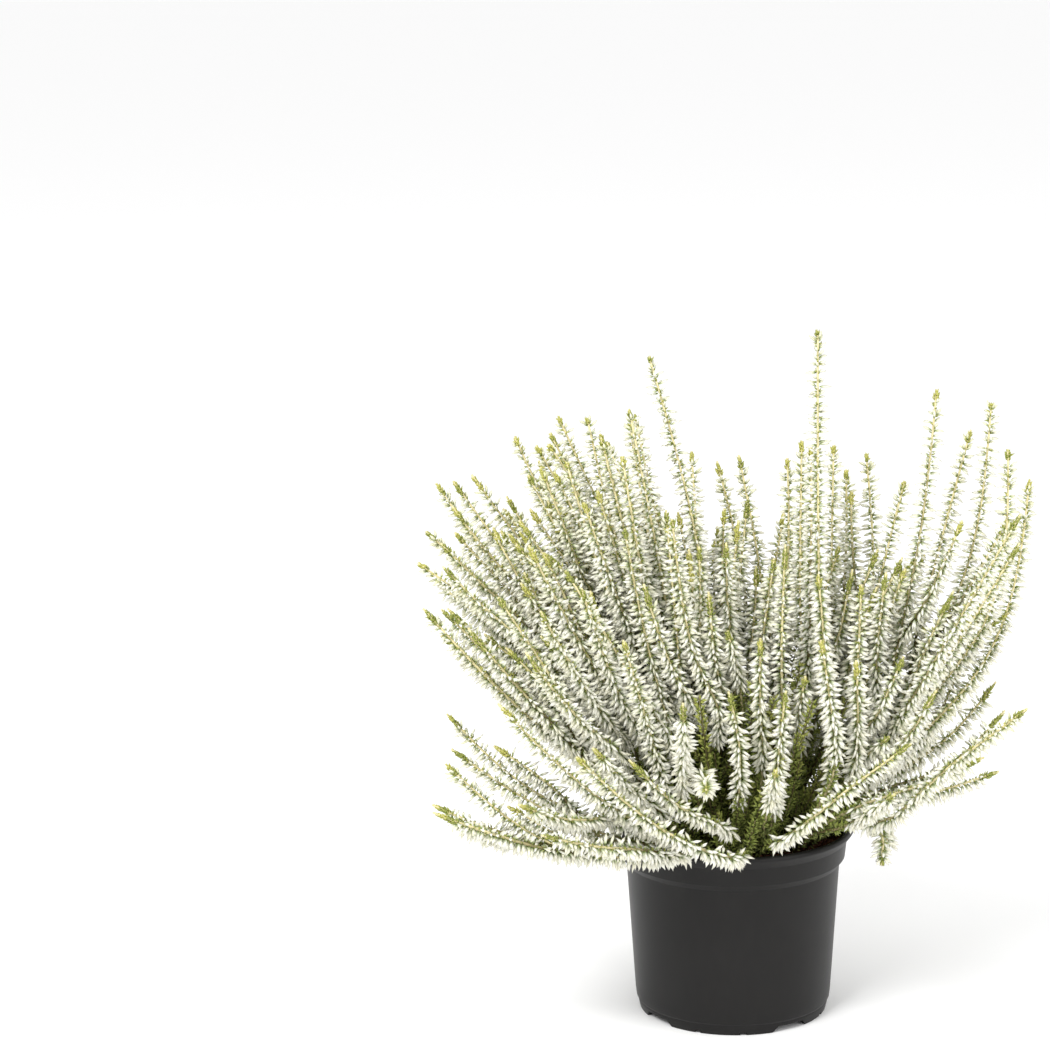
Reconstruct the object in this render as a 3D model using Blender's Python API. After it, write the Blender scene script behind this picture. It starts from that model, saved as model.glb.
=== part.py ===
"""A pot of white bud heather: a black nursery pot, its peat, and the leafy flowering shoots that stand in it.

Units are metres, +Z is up, and the front of the plant faces -Y. The origin is on the pot's axis, at the level
of the surface that the pot stands on. Each shoot is one body from its root end in the peat to its green tip.
"""

import math

import bmesh
import bpy
import numpy as np
from mathutils import Matrix, Vector

MM = 0.001

# The pot
RIM_RADIUS = 60 * MM
POT_HEIGHT = 94 * MM
FOOT_RADIUS = 46.5 * MM
FOOT_HEIGHT = 3.5 * MM
FOOT_WIDTH = 3 * MM
WALL = 1.4 * MM
CREASE_HEIGHT = 5 * MM
COLLAR_FOOT = 75.5 * MM
BODY_TOP_RADIUS = 52.9 * MM
BODY_FOOT_RADIUS = 48.2 * MM
COLLAR_RADIUS = 56.6 * MM
POT_SIDES = 40
FOOT_COUNT = 4
FOOT_TURN = math.radians(-97.5)
FOOT_GAP = 15 * MM
NOTCH_TURN = math.radians(14)
NOTCH_WIDTH = 3 * MM
NOTCH_DEPTH = 1.2 * MM
DRAIN_COUNT = 8
DRAIN_RADIUS = 3.5 * MM
DRAIN_RING = 35 * MM

# The peat
PEAT_TOP = 86 * MM
FIT_GAP = 0.3 * MM
HOLE_DEPTH = 12 * MM
HOLE_RADIUS = 1.95 * MM
ROOT_RADIUS = 1.5 * MM

# The shoots
ROOT_REACH = 42 * MM
ROOT_SHARE = 0.5
ROOT_PITCH = 7.4 * MM
ROUTE_POINTS = 26
STEM_END = 10 * MM
LEAF_REACH = 2.9 * MM
BLOOM_REACH = 5.6 * MM
TIP_REACH = 2.5 * MM
TIP_LENGTH = 16 * MM
STEM_RADIUS = 1.5 * MM
BLOOM_CORE = 2.0 * MM
TIP_CORE = 1.5 * MM
BLOOM_PITCH = 14.6 * MM
LEAF_PITCH = 12 * MM
LEAF_RAKE = 1.6 * MM
BLOOM_RAKE = 0.4 * MM
BLOOM_TAPER = 0.22
TIP_PITCH = 6 * MM
CORE_SIDES = 3
CLEARANCE = 0.5 * MM
SPREAD_ROUNDS = 160
ROUNDS_PER_LOOK = 8
LOOK_MARGIN = 6 * MM
LONGEST_PUSH = 1.2 * MM
SEED = 11

# Where each shoot runs, in millimetres right of, behind and above the origin: where its flowers start, a place on
# its way, and its tip. Some have a side spike: how far along the flowers it leaves, and its own tip.
TALL_SHOOTS = [
    ((45, -45, 121), (42, -24, 203), (41, 6, 339)),
    ((-8, -12, 142), (-17, 8, 231), (-41, 25, 324), (0.05, (-7, -40, 198))),
    ((-23, -24, 149), (-35, -14, 225), (-50, -5, 303), (0.12, (-20, -38, 232))),
    ((66, -5, 132), (86, 5, 206), (99, 15, 309), (0.1, (74, -12, 224))),
    ((58, 8, 132), (72, 22, 208), (85, 35, 260)),
    ((60, 30, 138), (70, 45, 205), (67, 58, 270), (0.25, (59, 40, 254))),
    ((49, 15, 144), (49, 28, 211), (50, 36, 278), (0.15, (57, 58, 262))),
    ((33, -15, 138), (33, 8, 211), (34, 26, 282), (0.12, (38, 10, 282))),
    ((21, 20, 140), (14, 42, 211), (3, 60, 269), (0.18, (27, 34, 272))),
    ((10, 35, 147), (4, 58, 213), (-8, 76, 263), (0.18, (-8, 46, 235))),
    ((-15, 20, 144), (-40, 36, 220), (-63, 46, 278)),
    ((-20, -42, 148), (-27, -34, 205), (-32, -24, 257)),
]
RIGHT_SHOOTS = [
    ((66, 10, 138), (112, 34, 204), (128, 46, 297)),
    ((71, -6, 132), (125, 0, 202), (133, 6, 281)),
    ((75, -24, 130), (129, 12, 185), (147, 40, 260)),
    ((79, 20, 112), (107, 28, 130), (132, 38, 157)),
    ((72, 0, 110), (105, 4, 122), (134, 8, 150)),
    ((58, -58, 119), (91, -50, 129), (120, -42, 140)),
    ((75, -16, 109), (101, -14, 115), (130, -10, 124)),
    ((65, 30, 131), (90, 42, 156), (97, 54, 189), (0.12, (82, 16, 224))),
    ((65, -36, 125), (83, -46, 150), (96, -54, 176)),
    ((20, -56, 118), (22, -62, 149), (25, -68, 179), (0.15, (25, -38, 243))),
    ((57, -48, 133), (59, -53, 161), (58, -56, 191), (0.15, (61, -40, 224))),
    ((22, -67, 103), (54, -84, 136), (83, -80, 157)),
    ((67, -38, 113), (73, -42, 107), (74, -42, 93)),
]
LEFT_SHOOTS = [
    ((-26, -8, 151), (-54, 2, 227), (-71, 10, 296)),
    ((-31, -34, 155), (-62, -26, 223), (-80, -16, 279), (0.35, (-87, 2, 271))),
    ((-21, 28, 138), (-68, 34, 202), (-96, 38, 259)),
    ((-28, -18, 142), (-67, -8, 206), (-99, 0, 253), (0.35, (-103, -20, 251))),
    ((-16, 36, 141), (-71, 30, 208), (-108, 28, 284)),
    ((-25, 20, 128), (-97, 34, 189), (-149, 42, 258)),
    ((-29, -2, 129), (-95, 4, 189), (-149, -12, 244), (0.4, (-115, 20, 238))),
    ((-38, -28, 133), (-98, -33, 193), (-150, -44, 235), (0.35, (-101, -42, 225))),
    ((-42, -46, 125), (-92, -42, 170), (-137, -36, 211)),
    ((-33, -60, 116), (-96, -66, 165), (-146, -62, 217)),
    ((-39, -36, 98), (-97, -26, 117), (-140, -18, 154)),
    ((-39, -56, 96), (-90, -54, 116), (-135, -50, 145), (0.3, (-115, -44, 145))),
    ((-24, -68, 97), (-81, -82, 106), (-135, -80, 146)),
]
FRONT_SHOOTS = [
    ((14, -50, 138), (13, -58, 172), (13, -62, 203)),
    ((3, -58, 123), (3, -66, 152), (-2, -74, 180)),
    ((49, -62, 146), (46, -67, 172), (41, -70, 204)),
    ((-29, -50, 151), (-42, -50, 204), (-51, -50, 253)),
    ((-21, -56, 138), (-48, -66, 186), (-78, -70, 237)),
    ((-29, -64, 101), (-71, -86, 138), (-109, -90, 178)),
    ((3, -69, 93), (-36, -98, 122), (-72, -106, 157)),
    ((-1, -64, 109), (-25, -84, 127), (-48, -96, 153)),
    ((-16, -56, 134), (-13, -94, 142), (-12, -128, 148)),
]

# The far side is grown by rule: a low and a high rank of shoots in turn, fanned round the back. Each rank has the
# reach and height of the same three places.
BACK_COUNT = 8
BACK_FROM, BACK_TO = math.radians(24), math.radians(156)
LOW_BACK = ((46, 108), (98, 120), (131, 152))
HIGH_BACK = ((36, 120), (80, 168), (110, 224))
BACK_JITTER = 5

# Short twigs without flowers at the heart of the plant
GREEN_SHOOTS = [
    ((-12, -34, 121), (-16, -38, 131), (-19, -42, 142)),
    ((7, -40, 111), (8, -44, 119), (8, -50, 128)),
    ((28, -38, 117), (30, -42, 128), (32, -44, 138)),
]

# The side spikes
SIDE_TURN = math.radians(32)
SIDE_BARE = 16 * MM
SIDE_FIRST = 7.5 * MM
SIDE_HELD = 2
SIDE_TIP = 12 * MM
SIDE_ROOM = 4.6 * MM
FLORET_ROOM = 6.0 * MM

BLOOM_COLOUR = (0.74, 0.76, 0.60, 1)
GREEN_COLOUR = (0.10, 0.16, 0.03, 1)
POT_COLOUR = (0.030, 0.030, 0.032, 1)
PEAT_COLOUR = (0.075, 0.035, 0.022, 1)


def clear_scene():
    for old in list(bpy.data.objects):
        bpy.data.objects.remove(old)


def plain_material(name, colour, roughness):
    material = bpy.data.materials.new(name)
    material.use_nodes = True
    shader = material.node_tree.nodes["Principled BSDF"]
    shader.inputs["Base Color"].default_value = colour
    shader.inputs["Roughness"].default_value = roughness
    material.diffuse_color = colour
    return material


def object_from(bm, name, material):
    bmesh.ops.recalc_face_normals(bm, faces=bm.faces)
    mesh = bpy.data.meshes.new(name)
    bm.to_mesh(mesh)
    bm.free()
    mesh.materials.append(material)
    made = bpy.data.objects.new(name, mesh)
    bpy.context.scene.collection.objects.link(made)
    return made


def turned(outline, sides):
    """A closed body turned about the Z axis from an outline that starts and ends on it."""
    bm = bmesh.new()
    corners = [bm.verts.new((radius, 0, height)) for radius, height in outline]
    edges = [bm.edges.new(pair) for pair in zip(corners, corners[1:])]
    bmesh.ops.spin(
        bm, geom=corners + edges, cent=(0, 0, 0), axis=(0, 0, 1), angle=2 * math.pi, steps=sides, use_merge=True
    )
    bmesh.ops.remove_doubles(bm, verts=bm.verts, dist=0.01 * MM)
    return bm


def add_box(bm, size, place):
    bmesh.ops.create_cube(bm, size=1, matrix=place @ Matrix.Diagonal((*size, 1)))


def add_prism(bm, sides, radius, foot, top, turn=0.0):
    """A prism of this many sides from foot up to top, with a corner at angle turn."""
    place = Matrix.Translation((foot + top) / 2) @ Matrix.Rotation(turn, 4, "Z")
    bmesh.ops.create_cone(
        bm, cap_ends=True, segments=sides, radius1=radius, radius2=radius, depth=(top - foot).length, matrix=place
    )


def cut(solid, bm, name):
    """Cuts the closed shapes in bm from solid."""
    cutter = object_from(bm, name, solid.data.materials[0])
    cutter.hide_render = True
    cutter.display_type = "WIRE"
    difference = solid.modifiers.new(name, "BOOLEAN")
    difference.operation = "DIFFERENCE"
    difference.object = cutter


def pot_inside(height):
    """The radius of the pot's inner wall at a height."""
    share = (height - CREASE_HEIGHT) / (COLLAR_FOOT - CREASE_HEIGHT)
    if share < 1:
        return BODY_FOOT_RADIUS + share * (BODY_TOP_RADIUS - BODY_FOOT_RADIUS) - WALL
    return COLLAR_RADIUS - 1.2 * MM - WALL


def make_pot(material):
    """The nursery pot: a thin tapered wall with a collar and a rolled rim, on a foot ring in four lengths."""
    floor = FOOT_HEIGHT + WALL
    outline = [
        (0, FOOT_HEIGHT),
        (FOOT_RADIUS - FOOT_WIDTH, FOOT_HEIGHT),
        (FOOT_RADIUS - FOOT_WIDTH, 0),
        (FOOT_RADIUS, 0),
        (BODY_FOOT_RADIUS - 0.7 * MM, CREASE_HEIGHT - 0.6 * MM),
        (BODY_FOOT_RADIUS, CREASE_HEIGHT + 1 * MM),
        (BODY_TOP_RADIUS, COLLAR_FOOT),
        (COLLAR_RADIUS - 1 * MM, COLLAR_FOOT + 3.2 * MM),
        (COLLAR_RADIUS, POT_HEIGHT - 6.5 * MM),
        (RIM_RADIUS - 0.5 * MM, POT_HEIGHT - 3 * MM),
        (RIM_RADIUS, POT_HEIGHT - 1.2 * MM),
        (RIM_RADIUS - 1 * MM, POT_HEIGHT),
        (RIM_RADIUS - 3.4 * MM, POT_HEIGHT),
        (COLLAR_RADIUS - WALL, POT_HEIGHT - 3 * MM),
        (pot_inside(COLLAR_FOOT + 3 * MM), COLLAR_FOOT + 3 * MM),
        (pot_inside(COLLAR_FOOT - 1 * MM), COLLAR_FOOT - 1 * MM),
        (pot_inside(floor), floor),
        (0, floor),
    ]
    pot = object_from(turned(outline, POT_SIDES), "pot", material)

    cuts = bmesh.new()
    ring = FOOT_RADIUS - FOOT_WIDTH / 2
    for foot in range(FOOT_COUNT):
        middle = FOOT_TURN + foot * 2 * math.pi / FOOT_COUNT
        half_way = middle + math.pi / FOOT_COUNT
        across = Matrix.Rotation(half_way, 4, "Z") @ Matrix.Translation((ring, 0, 0))
        add_box(cuts, (3 * FOOT_WIDTH, FOOT_GAP, 2 * (FOOT_HEIGHT - 0.4 * MM)), across)
        for side in (-NOTCH_TURN, NOTCH_TURN):
            across = Matrix.Rotation(middle + side, 4, "Z") @ Matrix.Translation((ring, 0, 0))
            add_box(cuts, (3 * FOOT_WIDTH, NOTCH_WIDTH, 2 * NOTCH_DEPTH), across)
    for hole in range(DRAIN_COUNT):
        turn = (hole + 0.5) * 2 * math.pi / DRAIN_COUNT
        foot = Vector((math.cos(turn) * DRAIN_RING, math.sin(turn) * DRAIN_RING, FOOT_HEIGHT - 1 * MM))
        add_prism(cuts, 8, DRAIN_RADIUS, foot, foot + Vector((0, 0, WALL + 2 * MM)))
    cut(pot, cuts, "pot_cuts")
    shade_round(pot)


def make_peat(material, roots):
    """The peat, to the pot's inner shape, with one plain hole for each shoot."""
    floor = FOOT_HEIGHT + WALL + FIT_GAP
    step = COLLAR_FOOT - 1 * MM
    outline = [
        (0, floor),
        (pot_inside(floor) - FIT_GAP, floor),
        (pot_inside(step) - FIT_GAP, step),
        (pot_inside(step) - FIT_GAP, COLLAR_FOOT + 2.6 * MM),
        (pot_inside(COLLAR_FOOT + 3 * MM) - FIT_GAP, COLLAR_FOOT + 3.4 * MM),
        (pot_inside(PEAT_TOP) - FIT_GAP, PEAT_TOP - 1 * MM),
        (pot_inside(PEAT_TOP) - 2 * MM, PEAT_TOP),
        (0, PEAT_TOP),
    ]
    peat = object_from(turned(outline, POT_SIDES), "peat", material)
    holes = bmesh.new()
    for x, y in roots:
        foot = Vector((x, y, PEAT_TOP - HOLE_DEPTH))
        add_prism(holes, 6, HOLE_RADIUS, foot, foot + Vector((0, 0, HOLE_DEPTH + 3 * MM)))
    cut(peat, holes, "root_holes")
    shade_round(peat)


def shade_round(made):
    made.data.shade_smooth()
    made.data.set_sharp_from_angle(angle=math.radians(30))


def back_shoots(draw):
    """The shoots that fan round the back, low and high in turn."""
    rows = []
    for place in range(BACK_COUNT):
        turn = BACK_FROM + (BACK_TO - BACK_FROM) * (place + 0.5) / BACK_COUNT
        turn += math.radians(draw.uniform(-BACK_JITTER, BACK_JITTER))
        rows.append([
            (reach * math.cos(turn), reach * math.sin(turn), height + draw.uniform(-BACK_JITTER, BACK_JITTER))
            for reach, height in (LOW_BACK if place % 2 else HIGH_BACK)
        ])
    return rows


def spread_roots(feet):
    """Root places on the peat: each on the side of the plant where its flowers start, none closer than ROOT_PITCH."""
    roots = feet[:, :2] * ROOT_SHARE
    for _ in range(400):
        apart = roots[:, None] - roots[None]
        gap = np.linalg.norm(apart, axis=2) + 1e-9
        close = np.clip(ROOT_PITCH - gap, 0, None) * (1 - np.eye(len(roots)))
        roots = roots + 0.3 * (apart / gap[..., None] * close[..., None]).sum(axis=1)
        out = np.linalg.norm(roots, axis=1)
        roots *= np.minimum(1, ROOT_REACH / np.maximum(out, 1e-9))[:, None]
    return roots


def evenly(points, count):
    """The polyline's points, spaced evenly along it."""
    along = np.concatenate([[0], np.cumsum(np.linalg.norm(np.diff(points, axis=0), axis=1))])
    want = np.linspace(0, along[-1], count)
    return np.stack([np.interp(want, along, points[:, axis]) for axis in range(3)], axis=1)


def length_of(points):
    return np.linalg.norm(np.diff(points, axis=0), axis=1).sum()


def first_route(root, places):
    """A shoot's first line, smoothly through its places, and how far along it its flowers start."""
    points = np.array([(root[0], root[1], PEAT_TOP + 2 * MM), *places])
    steps = np.linalg.norm(np.diff(points, axis=0), axis=1)
    ways = np.diff(points, axis=0) / steps[:, None]
    inner = (ways[:-1] * steps[1:, None] + ways[1:] * steps[:-1, None]) / (steps[:-1] + steps[1:])[:, None]
    ways = np.concatenate([[1.5 * ways[0] - 0.5 * inner[0]], inner, [1.5 * ways[-1] - 0.5 * inner[-1]]])
    share = np.linspace(0, 1, 20, endpoint=False)[:, None]
    rest = 1 - share
    curve = np.concatenate([
        rest**2 * (1 + 2 * share) * points[index] + share * rest**2 * steps[index] * ways[index]
        + share**2 * (3 - 2 * share) * points[index + 1] - share**2 * rest * steps[index] * ways[index + 1]
        for index in range(len(steps))
    ] + [points[-1:]])
    return evenly(curve, ROUTE_POINTS), length_of(curve[:21])


def side_route(parent, leaf_end, share, tip):
    """A side spike's first line, which turns away from its parent's line part way along the parent's flowers."""
    line = Line(parent)
    leaves_at = leaf_end + share * (line.length - leaf_end)
    start, along = np.array(line.at(leaves_at)), np.array(line.heading(leaves_at + 4 * MM))
    chord = tip - start
    length = np.linalg.norm(chord)
    chord /= length
    side = chord - along * chord.dot(along)
    leave = along * math.cos(SIDE_TURN) + side / np.linalg.norm(side) * math.sin(SIDE_TURN)
    arrive = 1.7 * chord - 0.7 * leave
    share = np.linspace(0, 1, 60)[:, None]
    rest = 1 - share
    first, second = start + leave * length / 3, tip - arrive / np.linalg.norm(arrive) * length / 3
    curve = rest**3 * start + 3 * rest**2 * share * first + 3 * rest * share**2 * second + share**3 * tip
    return evenly(curve, ROUTE_POINTS)


class Line:
    """The line that a shoot or side spike follows, read by distance from its start."""

    def __init__(self, points):
        self.points = evenly(points, ROUTE_POINTS)
        self.length = length_of(self.points)
        self.along = np.linspace(0, self.length, ROUTE_POINTS)
        self.dense = evenly(self.points, 160)

    def at(self, distance):
        return Vector([float(np.interp(distance, self.along, self.points[:, axis])) for axis in range(3)])

    def heading(self, distance):
        return (self.at(distance + 2 * MM) - self.at(distance - 2 * MM)).normalized()

    def room(self, point):
        return np.linalg.norm(self.dense - np.array(point), axis=1).min()


def reach_along(length, leaf_end):
    """How far the shoot's leaves or flowers stand out at each of its route points."""
    top = BLOOM_REACH if leaf_end < length - TIP_LENGTH else LEAF_REACH
    leaf_end = min(max(leaf_end, STEM_END + 5 * MM), length - TIP_LENGTH - 6 * MM)
    return np.interp(
        np.linspace(0, length, ROUTE_POINTS),
        [0, STEM_END, STEM_END + 4 * MM, leaf_end, leaf_end + 6 * MM, length - TIP_LENGTH, length],
        [STEM_RADIUS, STEM_RADIUS, LEAF_REACH, LEAF_REACH, top, max(TIP_REACH, 0.75 * top), TIP_REACH],
    )


def side_reach_along(length):
    """The same for a side spike, which counts for nothing where it leaves its parent."""
    return np.interp(
        np.linspace(0, length, ROUTE_POINTS),
        [0, SIDE_BARE, SIDE_BARE + 8 * MM, length - SIDE_TIP, length],
        [0, 0, BLOOM_REACH, 0.75 * BLOOM_REACH, TIP_REACH],
    )


def keep_off_pot(points, reach):
    """How far each point has to move to clear the peat inside the rim, and the rim itself."""
    out = np.linalg.norm(points[..., :2], axis=-1)
    inside = out < RIM_RADIUS - 12 * MM
    floor = np.where(inside, PEAT_TOP, POT_HEIGHT) + 0.4 * MM
    side = np.where(inside, 0, np.maximum(out - RIM_RADIUS, 0))
    above = points[..., 2] - floor
    gap = np.where(above > 0, np.hypot(side, np.maximum(above, 0)), side)
    short = np.clip(reach + CLEARANCE - gap, 0, None)
    lift = np.where(above > 0, np.maximum(above, 1 * MM), 0.2 * MM)
    away = np.stack([points[..., 0] / np.maximum(out, 1e-9) * side,
                     points[..., 1] / np.maximum(out, 1e-9) * side, lift], axis=-1)
    away /= np.linalg.norm(away, axis=-1, keepdims=True)
    return away * short[..., None]


def near_pairs(points, reach, owner):
    """Pairs of points on different shoots that could come to touch within the next few rounds."""
    square = (points**2).sum(axis=1)
    gap_squared = square[:, None] + square[None] - 2 * points @ points.T
    near = gap_squared < (reach[:, None] + reach[None] + CLEARANCE + LOOK_MARGIN) ** 2
    near &= owner[:, None] != owner[None]
    return np.nonzero(near)


def bend_clear(routes, reach, held=0):
    """Bends the lines after the first held ones out of each other's way, and off the pot."""
    owner = np.repeat(np.arange(len(routes)), ROUTE_POINTS)
    fixed = np.where(held, SIDE_HELD, 0)
    free = np.clip((np.arange(ROUTE_POINTS) - fixed) / 3, 0, 1)[None, :, None] * np.ones((len(routes), 1, 1))
    free[:held] = 0
    reaches = reach.reshape(-1)
    first = routes
    for turn in range(SPREAD_ROUNDS):
        points = routes.reshape(-1, 3)
        if turn % ROUNDS_PER_LOOK == 0:
            one, two = near_pairs(points, reaches, owner)
            need = np.where(np.minimum(reaches[one], reaches[two]) > 0, reaches[one] + reaches[two] + CLEARANCE, 0)
        apart = points[one] - points[two]
        gap = np.linalg.norm(apart, axis=1) + 1e-9
        apart *= (np.maximum(need - gap, 0) / gap)[:, None]
        push = np.stack([np.bincount(one, apart[:, axis], len(points)) for axis in range(3)], axis=1)
        push = push.reshape(routes.shape)
        size = np.linalg.norm(push, axis=2, keepdims=True)
        push *= np.minimum(1, LONGEST_PUSH / np.maximum(size, 1e-9)) * 0.5
        smooth = push.copy()
        smooth[:, 1:-1] = 0.25 * push[:, :-2] + 0.5 * push[:, 1:-1] + 0.25 * push[:, 2:]
        moved = routes - first
        ease = np.zeros_like(routes)
        ease[:, 1:-1] = (moved[:, :-2] + moved[:, 2:]) / 2 - moved[:, 1:-1]
        routes = routes + free * (smooth + 0.2 * ease)
        routes = routes + free * keep_off_pot(routes, reach)
    return routes


def ring_plan(length, leaf_end):
    """The shoot's rings: distance along it, core radius, and how far what grows above that ring stands out."""
    bloom_end = length - TIP_LENGTH
    leaf_end = min(max(leaf_end, STEM_END + 5 * MM), bloom_end)
    plan = [(0.0, STEM_RADIUS, 0.0)]
    steps = max(1, round((leaf_end - STEM_END) / LEAF_PITCH))
    for step in range(steps):
        plan.append((STEM_END + (leaf_end - STEM_END) * step / steps, STEM_RADIUS, LEAF_REACH))
    plan += bloom_plan(leaf_end, bloom_end, STEM_RADIUS)
    return plan


def bloom_plan(start, end, first_core):
    """The rings of a stretch of flowers and of the green tip above it."""
    plan = []
    steps = round((end - start) / BLOOM_PITCH)
    for step in range(steps):
        share = step / steps
        core = first_core if step == 0 else BLOOM_CORE + share * (TIP_CORE - BLOOM_CORE)
        plan.append((start + (end - start) * share, core, BLOOM_REACH * (1 - BLOOM_TAPER * share)))
    plan.append((end, TIP_CORE, TIP_REACH))
    plan.append((end + TIP_PITCH, TIP_CORE, 0.0))
    return plan


def add_ring(bm, centre, across, up, radius, turn):
    corners = []
    for side in range(CORE_SIDES):
        angle = turn + side * 2 * math.pi / CORE_SIDES
        corners.append(bm.verts.new(centre + radius * (math.cos(angle) * across + math.sin(angle) * up)))
    return corners


def join_turned(bm, below, above, half_turn_on):
    """Two rows of triangles between rings that are half a side's turn apart: those that point up, then down."""
    up, down = [], []
    for side in range(CORE_SIDES):
        after = (side + 1) % CORE_SIDES
        if half_turn_on:
            up.append(bm.faces.new((below[side], below[after], above[side])))
            down.append(bm.faces.new((below[after], above[after], above[side])))
        else:
            down.append(bm.faces.new((below[side], above[after], above[side])))
            up.append(bm.faces.new((below[side], below[after], above[after])))
    return up, down


def draw_out(bm, faces, height, rake, other, room):
    """Draws a floret or leaf out of each face, but for those that would come too near the other line."""
    free = []
    for face in faces:
        face.normal_update()
        apex = face.calc_center_median() + face.normal * height + rake
        if other is None or other.room(apex) > room:
            free.append(face)
    for apex in bmesh.ops.poke(bm, faces=free, offset=height)["verts"]:
        apex.co += rake


def turned_frame(across, tangent):
    across = (across - tangent * across.dot(tangent)).normalized()
    return across, tangent.cross(across)


def fork_phase(line, plan, fork, side):
    """How far the core's rings have to be turned for one of its faces at the fork to look the side spike's way."""
    across = Vector((1, 0, 0))
    for distance, _, _ in plan[1:fork + 2]:
        across, up = turned_frame(across, line.heading(distance))
    way = side.heading(SIDE_FIRST)
    return math.atan2(way.dot(up), way.dot(across)) - (0 if fork % 2 == 0 else math.pi / CORE_SIDES)


def carry_on(bm, line, plan, ring, across, phase, other, room, fork=-1):
    """Carries a core on from its ring to its tip, with all that grows on it. The face at the fork stays plain."""
    left_plain = None
    grows = plan[0][2]
    for index, (distance, radius, reach) in enumerate(plan[1:]):
        tangent = line.heading(distance)
        across, up = turned_frame(across, tangent)
        half_turn_on = index % 2 == 0
        turn = phase + (math.pi / CORE_SIDES if half_turn_on else 0.0)
        below, ring = ring, add_ring(bm, line.at(distance), across, up, radius, turn)
        pointing_up, pointing_down = join_turned(bm, below, ring, half_turn_on)
        if index == fork:
            side_way = turned_frame(other.heading(SIDE_FIRST), tangent)[0]
            left_plain = max(pointing_down, key=lambda face: (face.calc_center_median() - line.at(distance)).dot(side_way))
            pointing_down.remove(left_plain)
            pointing_up = [face for face in pointing_up if len(set(face.verts) & set(left_plain.verts)) < 2]
        if grows:
            rake = LEAF_RAKE if grows <= LEAF_REACH else BLOOM_RAKE
            draw_out(bm, pointing_up + pointing_down, grows - radius * 0.6, tangent * rake, other, room)
        grows = reach
    tip = bm.verts.new(line.at(line.length))
    for side in range(CORE_SIDES):
        bm.faces.new((ring[side], ring[(side + 1) % CORE_SIDES], tip))
    return left_plain


def grow_side(bm, face, side, parent):
    """A side spike, carried on from a face of its parent's core."""
    corners = list(face.verts)
    middle = face.calc_center_median()
    bm.faces.remove(face)
    tangent = side.heading(SIDE_FIRST)
    across, up = turned_frame(corners[0].co - middle, tangent)
    angles = [math.atan2((corner.co - middle).dot(up), (corner.co - middle).dot(across)) for corner in corners]
    if math.sin(angles[1] - angles[0]) < 0:
        corners.reverse()
        angles.reverse()
    fits = [angle - side_number * 2 * math.pi / CORE_SIDES for side_number, angle in enumerate(angles)]
    turn = math.atan2(sum(map(math.sin, fits)), sum(map(math.cos, fits)))
    ring = add_ring(bm, side.at(SIDE_FIRST), across, up, STEM_RADIUS, turn)
    for number in range(CORE_SIDES):
        after = (number + 1) % CORE_SIDES
        wall = (corners[number], corners[after], ring[after], ring[number])
        edges = [corner.co - wall[0].co for corner in wall[1:]]
        if edges[0].cross(edges[1]).dot(edges[2]) > 0:
            wall = wall[1:] + wall[:1]
        bm.faces.new((wall[0], wall[1], wall[2]))
        bm.faces.new((wall[0], wall[2], wall[3]))
    plan = [(SIDE_FIRST, STEM_RADIUS, 0.0)] + bloom_plan(SIDE_BARE, side.length - SIDE_TIP, STEM_RADIUS)
    carry_on(bm, side, plan, ring, across, turn, parent, FLORET_ROOM)


def make_shoot(name, material, line, leaf_end, side):
    """One shoot: a slim three-sided core with a leaf, bud or tip scale drawn out of its faces, and its side spike."""
    bm = bmesh.new()
    across = Vector((1, 0, 0))
    foot = line.at(0)
    foot.z = PEAT_TOP - HOLE_DEPTH + FIT_GAP
    plan = ring_plan(line.length, leaf_end)
    fork, phase = -1, 0.0
    if side is not None:
        start = side.at(0)
        fork = min(range(len(plan) - 2), key=lambda index: (
            line.at(plan[index][0] + (plan[index + 1][0] - plan[index][0]) * 2 / 3) - start).length)
        phase = fork_phase(line, plan, fork, side)
    below = add_ring(bm, foot, across, Vector((0, 1, 0)), ROOT_RADIUS, phase)
    ring = add_ring(bm, line.at(0), across, Vector((0, 1, 0)), STEM_RADIUS, phase)
    bm.faces.new(below[::-1])
    for number in range(CORE_SIDES):
        after = (number + 1) % CORE_SIDES
        bm.faces.new((below[number], below[after], ring[after], ring[number]))
    face = carry_on(bm, line, plan, ring, across, phase, side, SIDE_ROOM, fork)
    if side is not None:
        grow_side(bm, face, side, line)
    object_from(bm, name, material)


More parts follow.
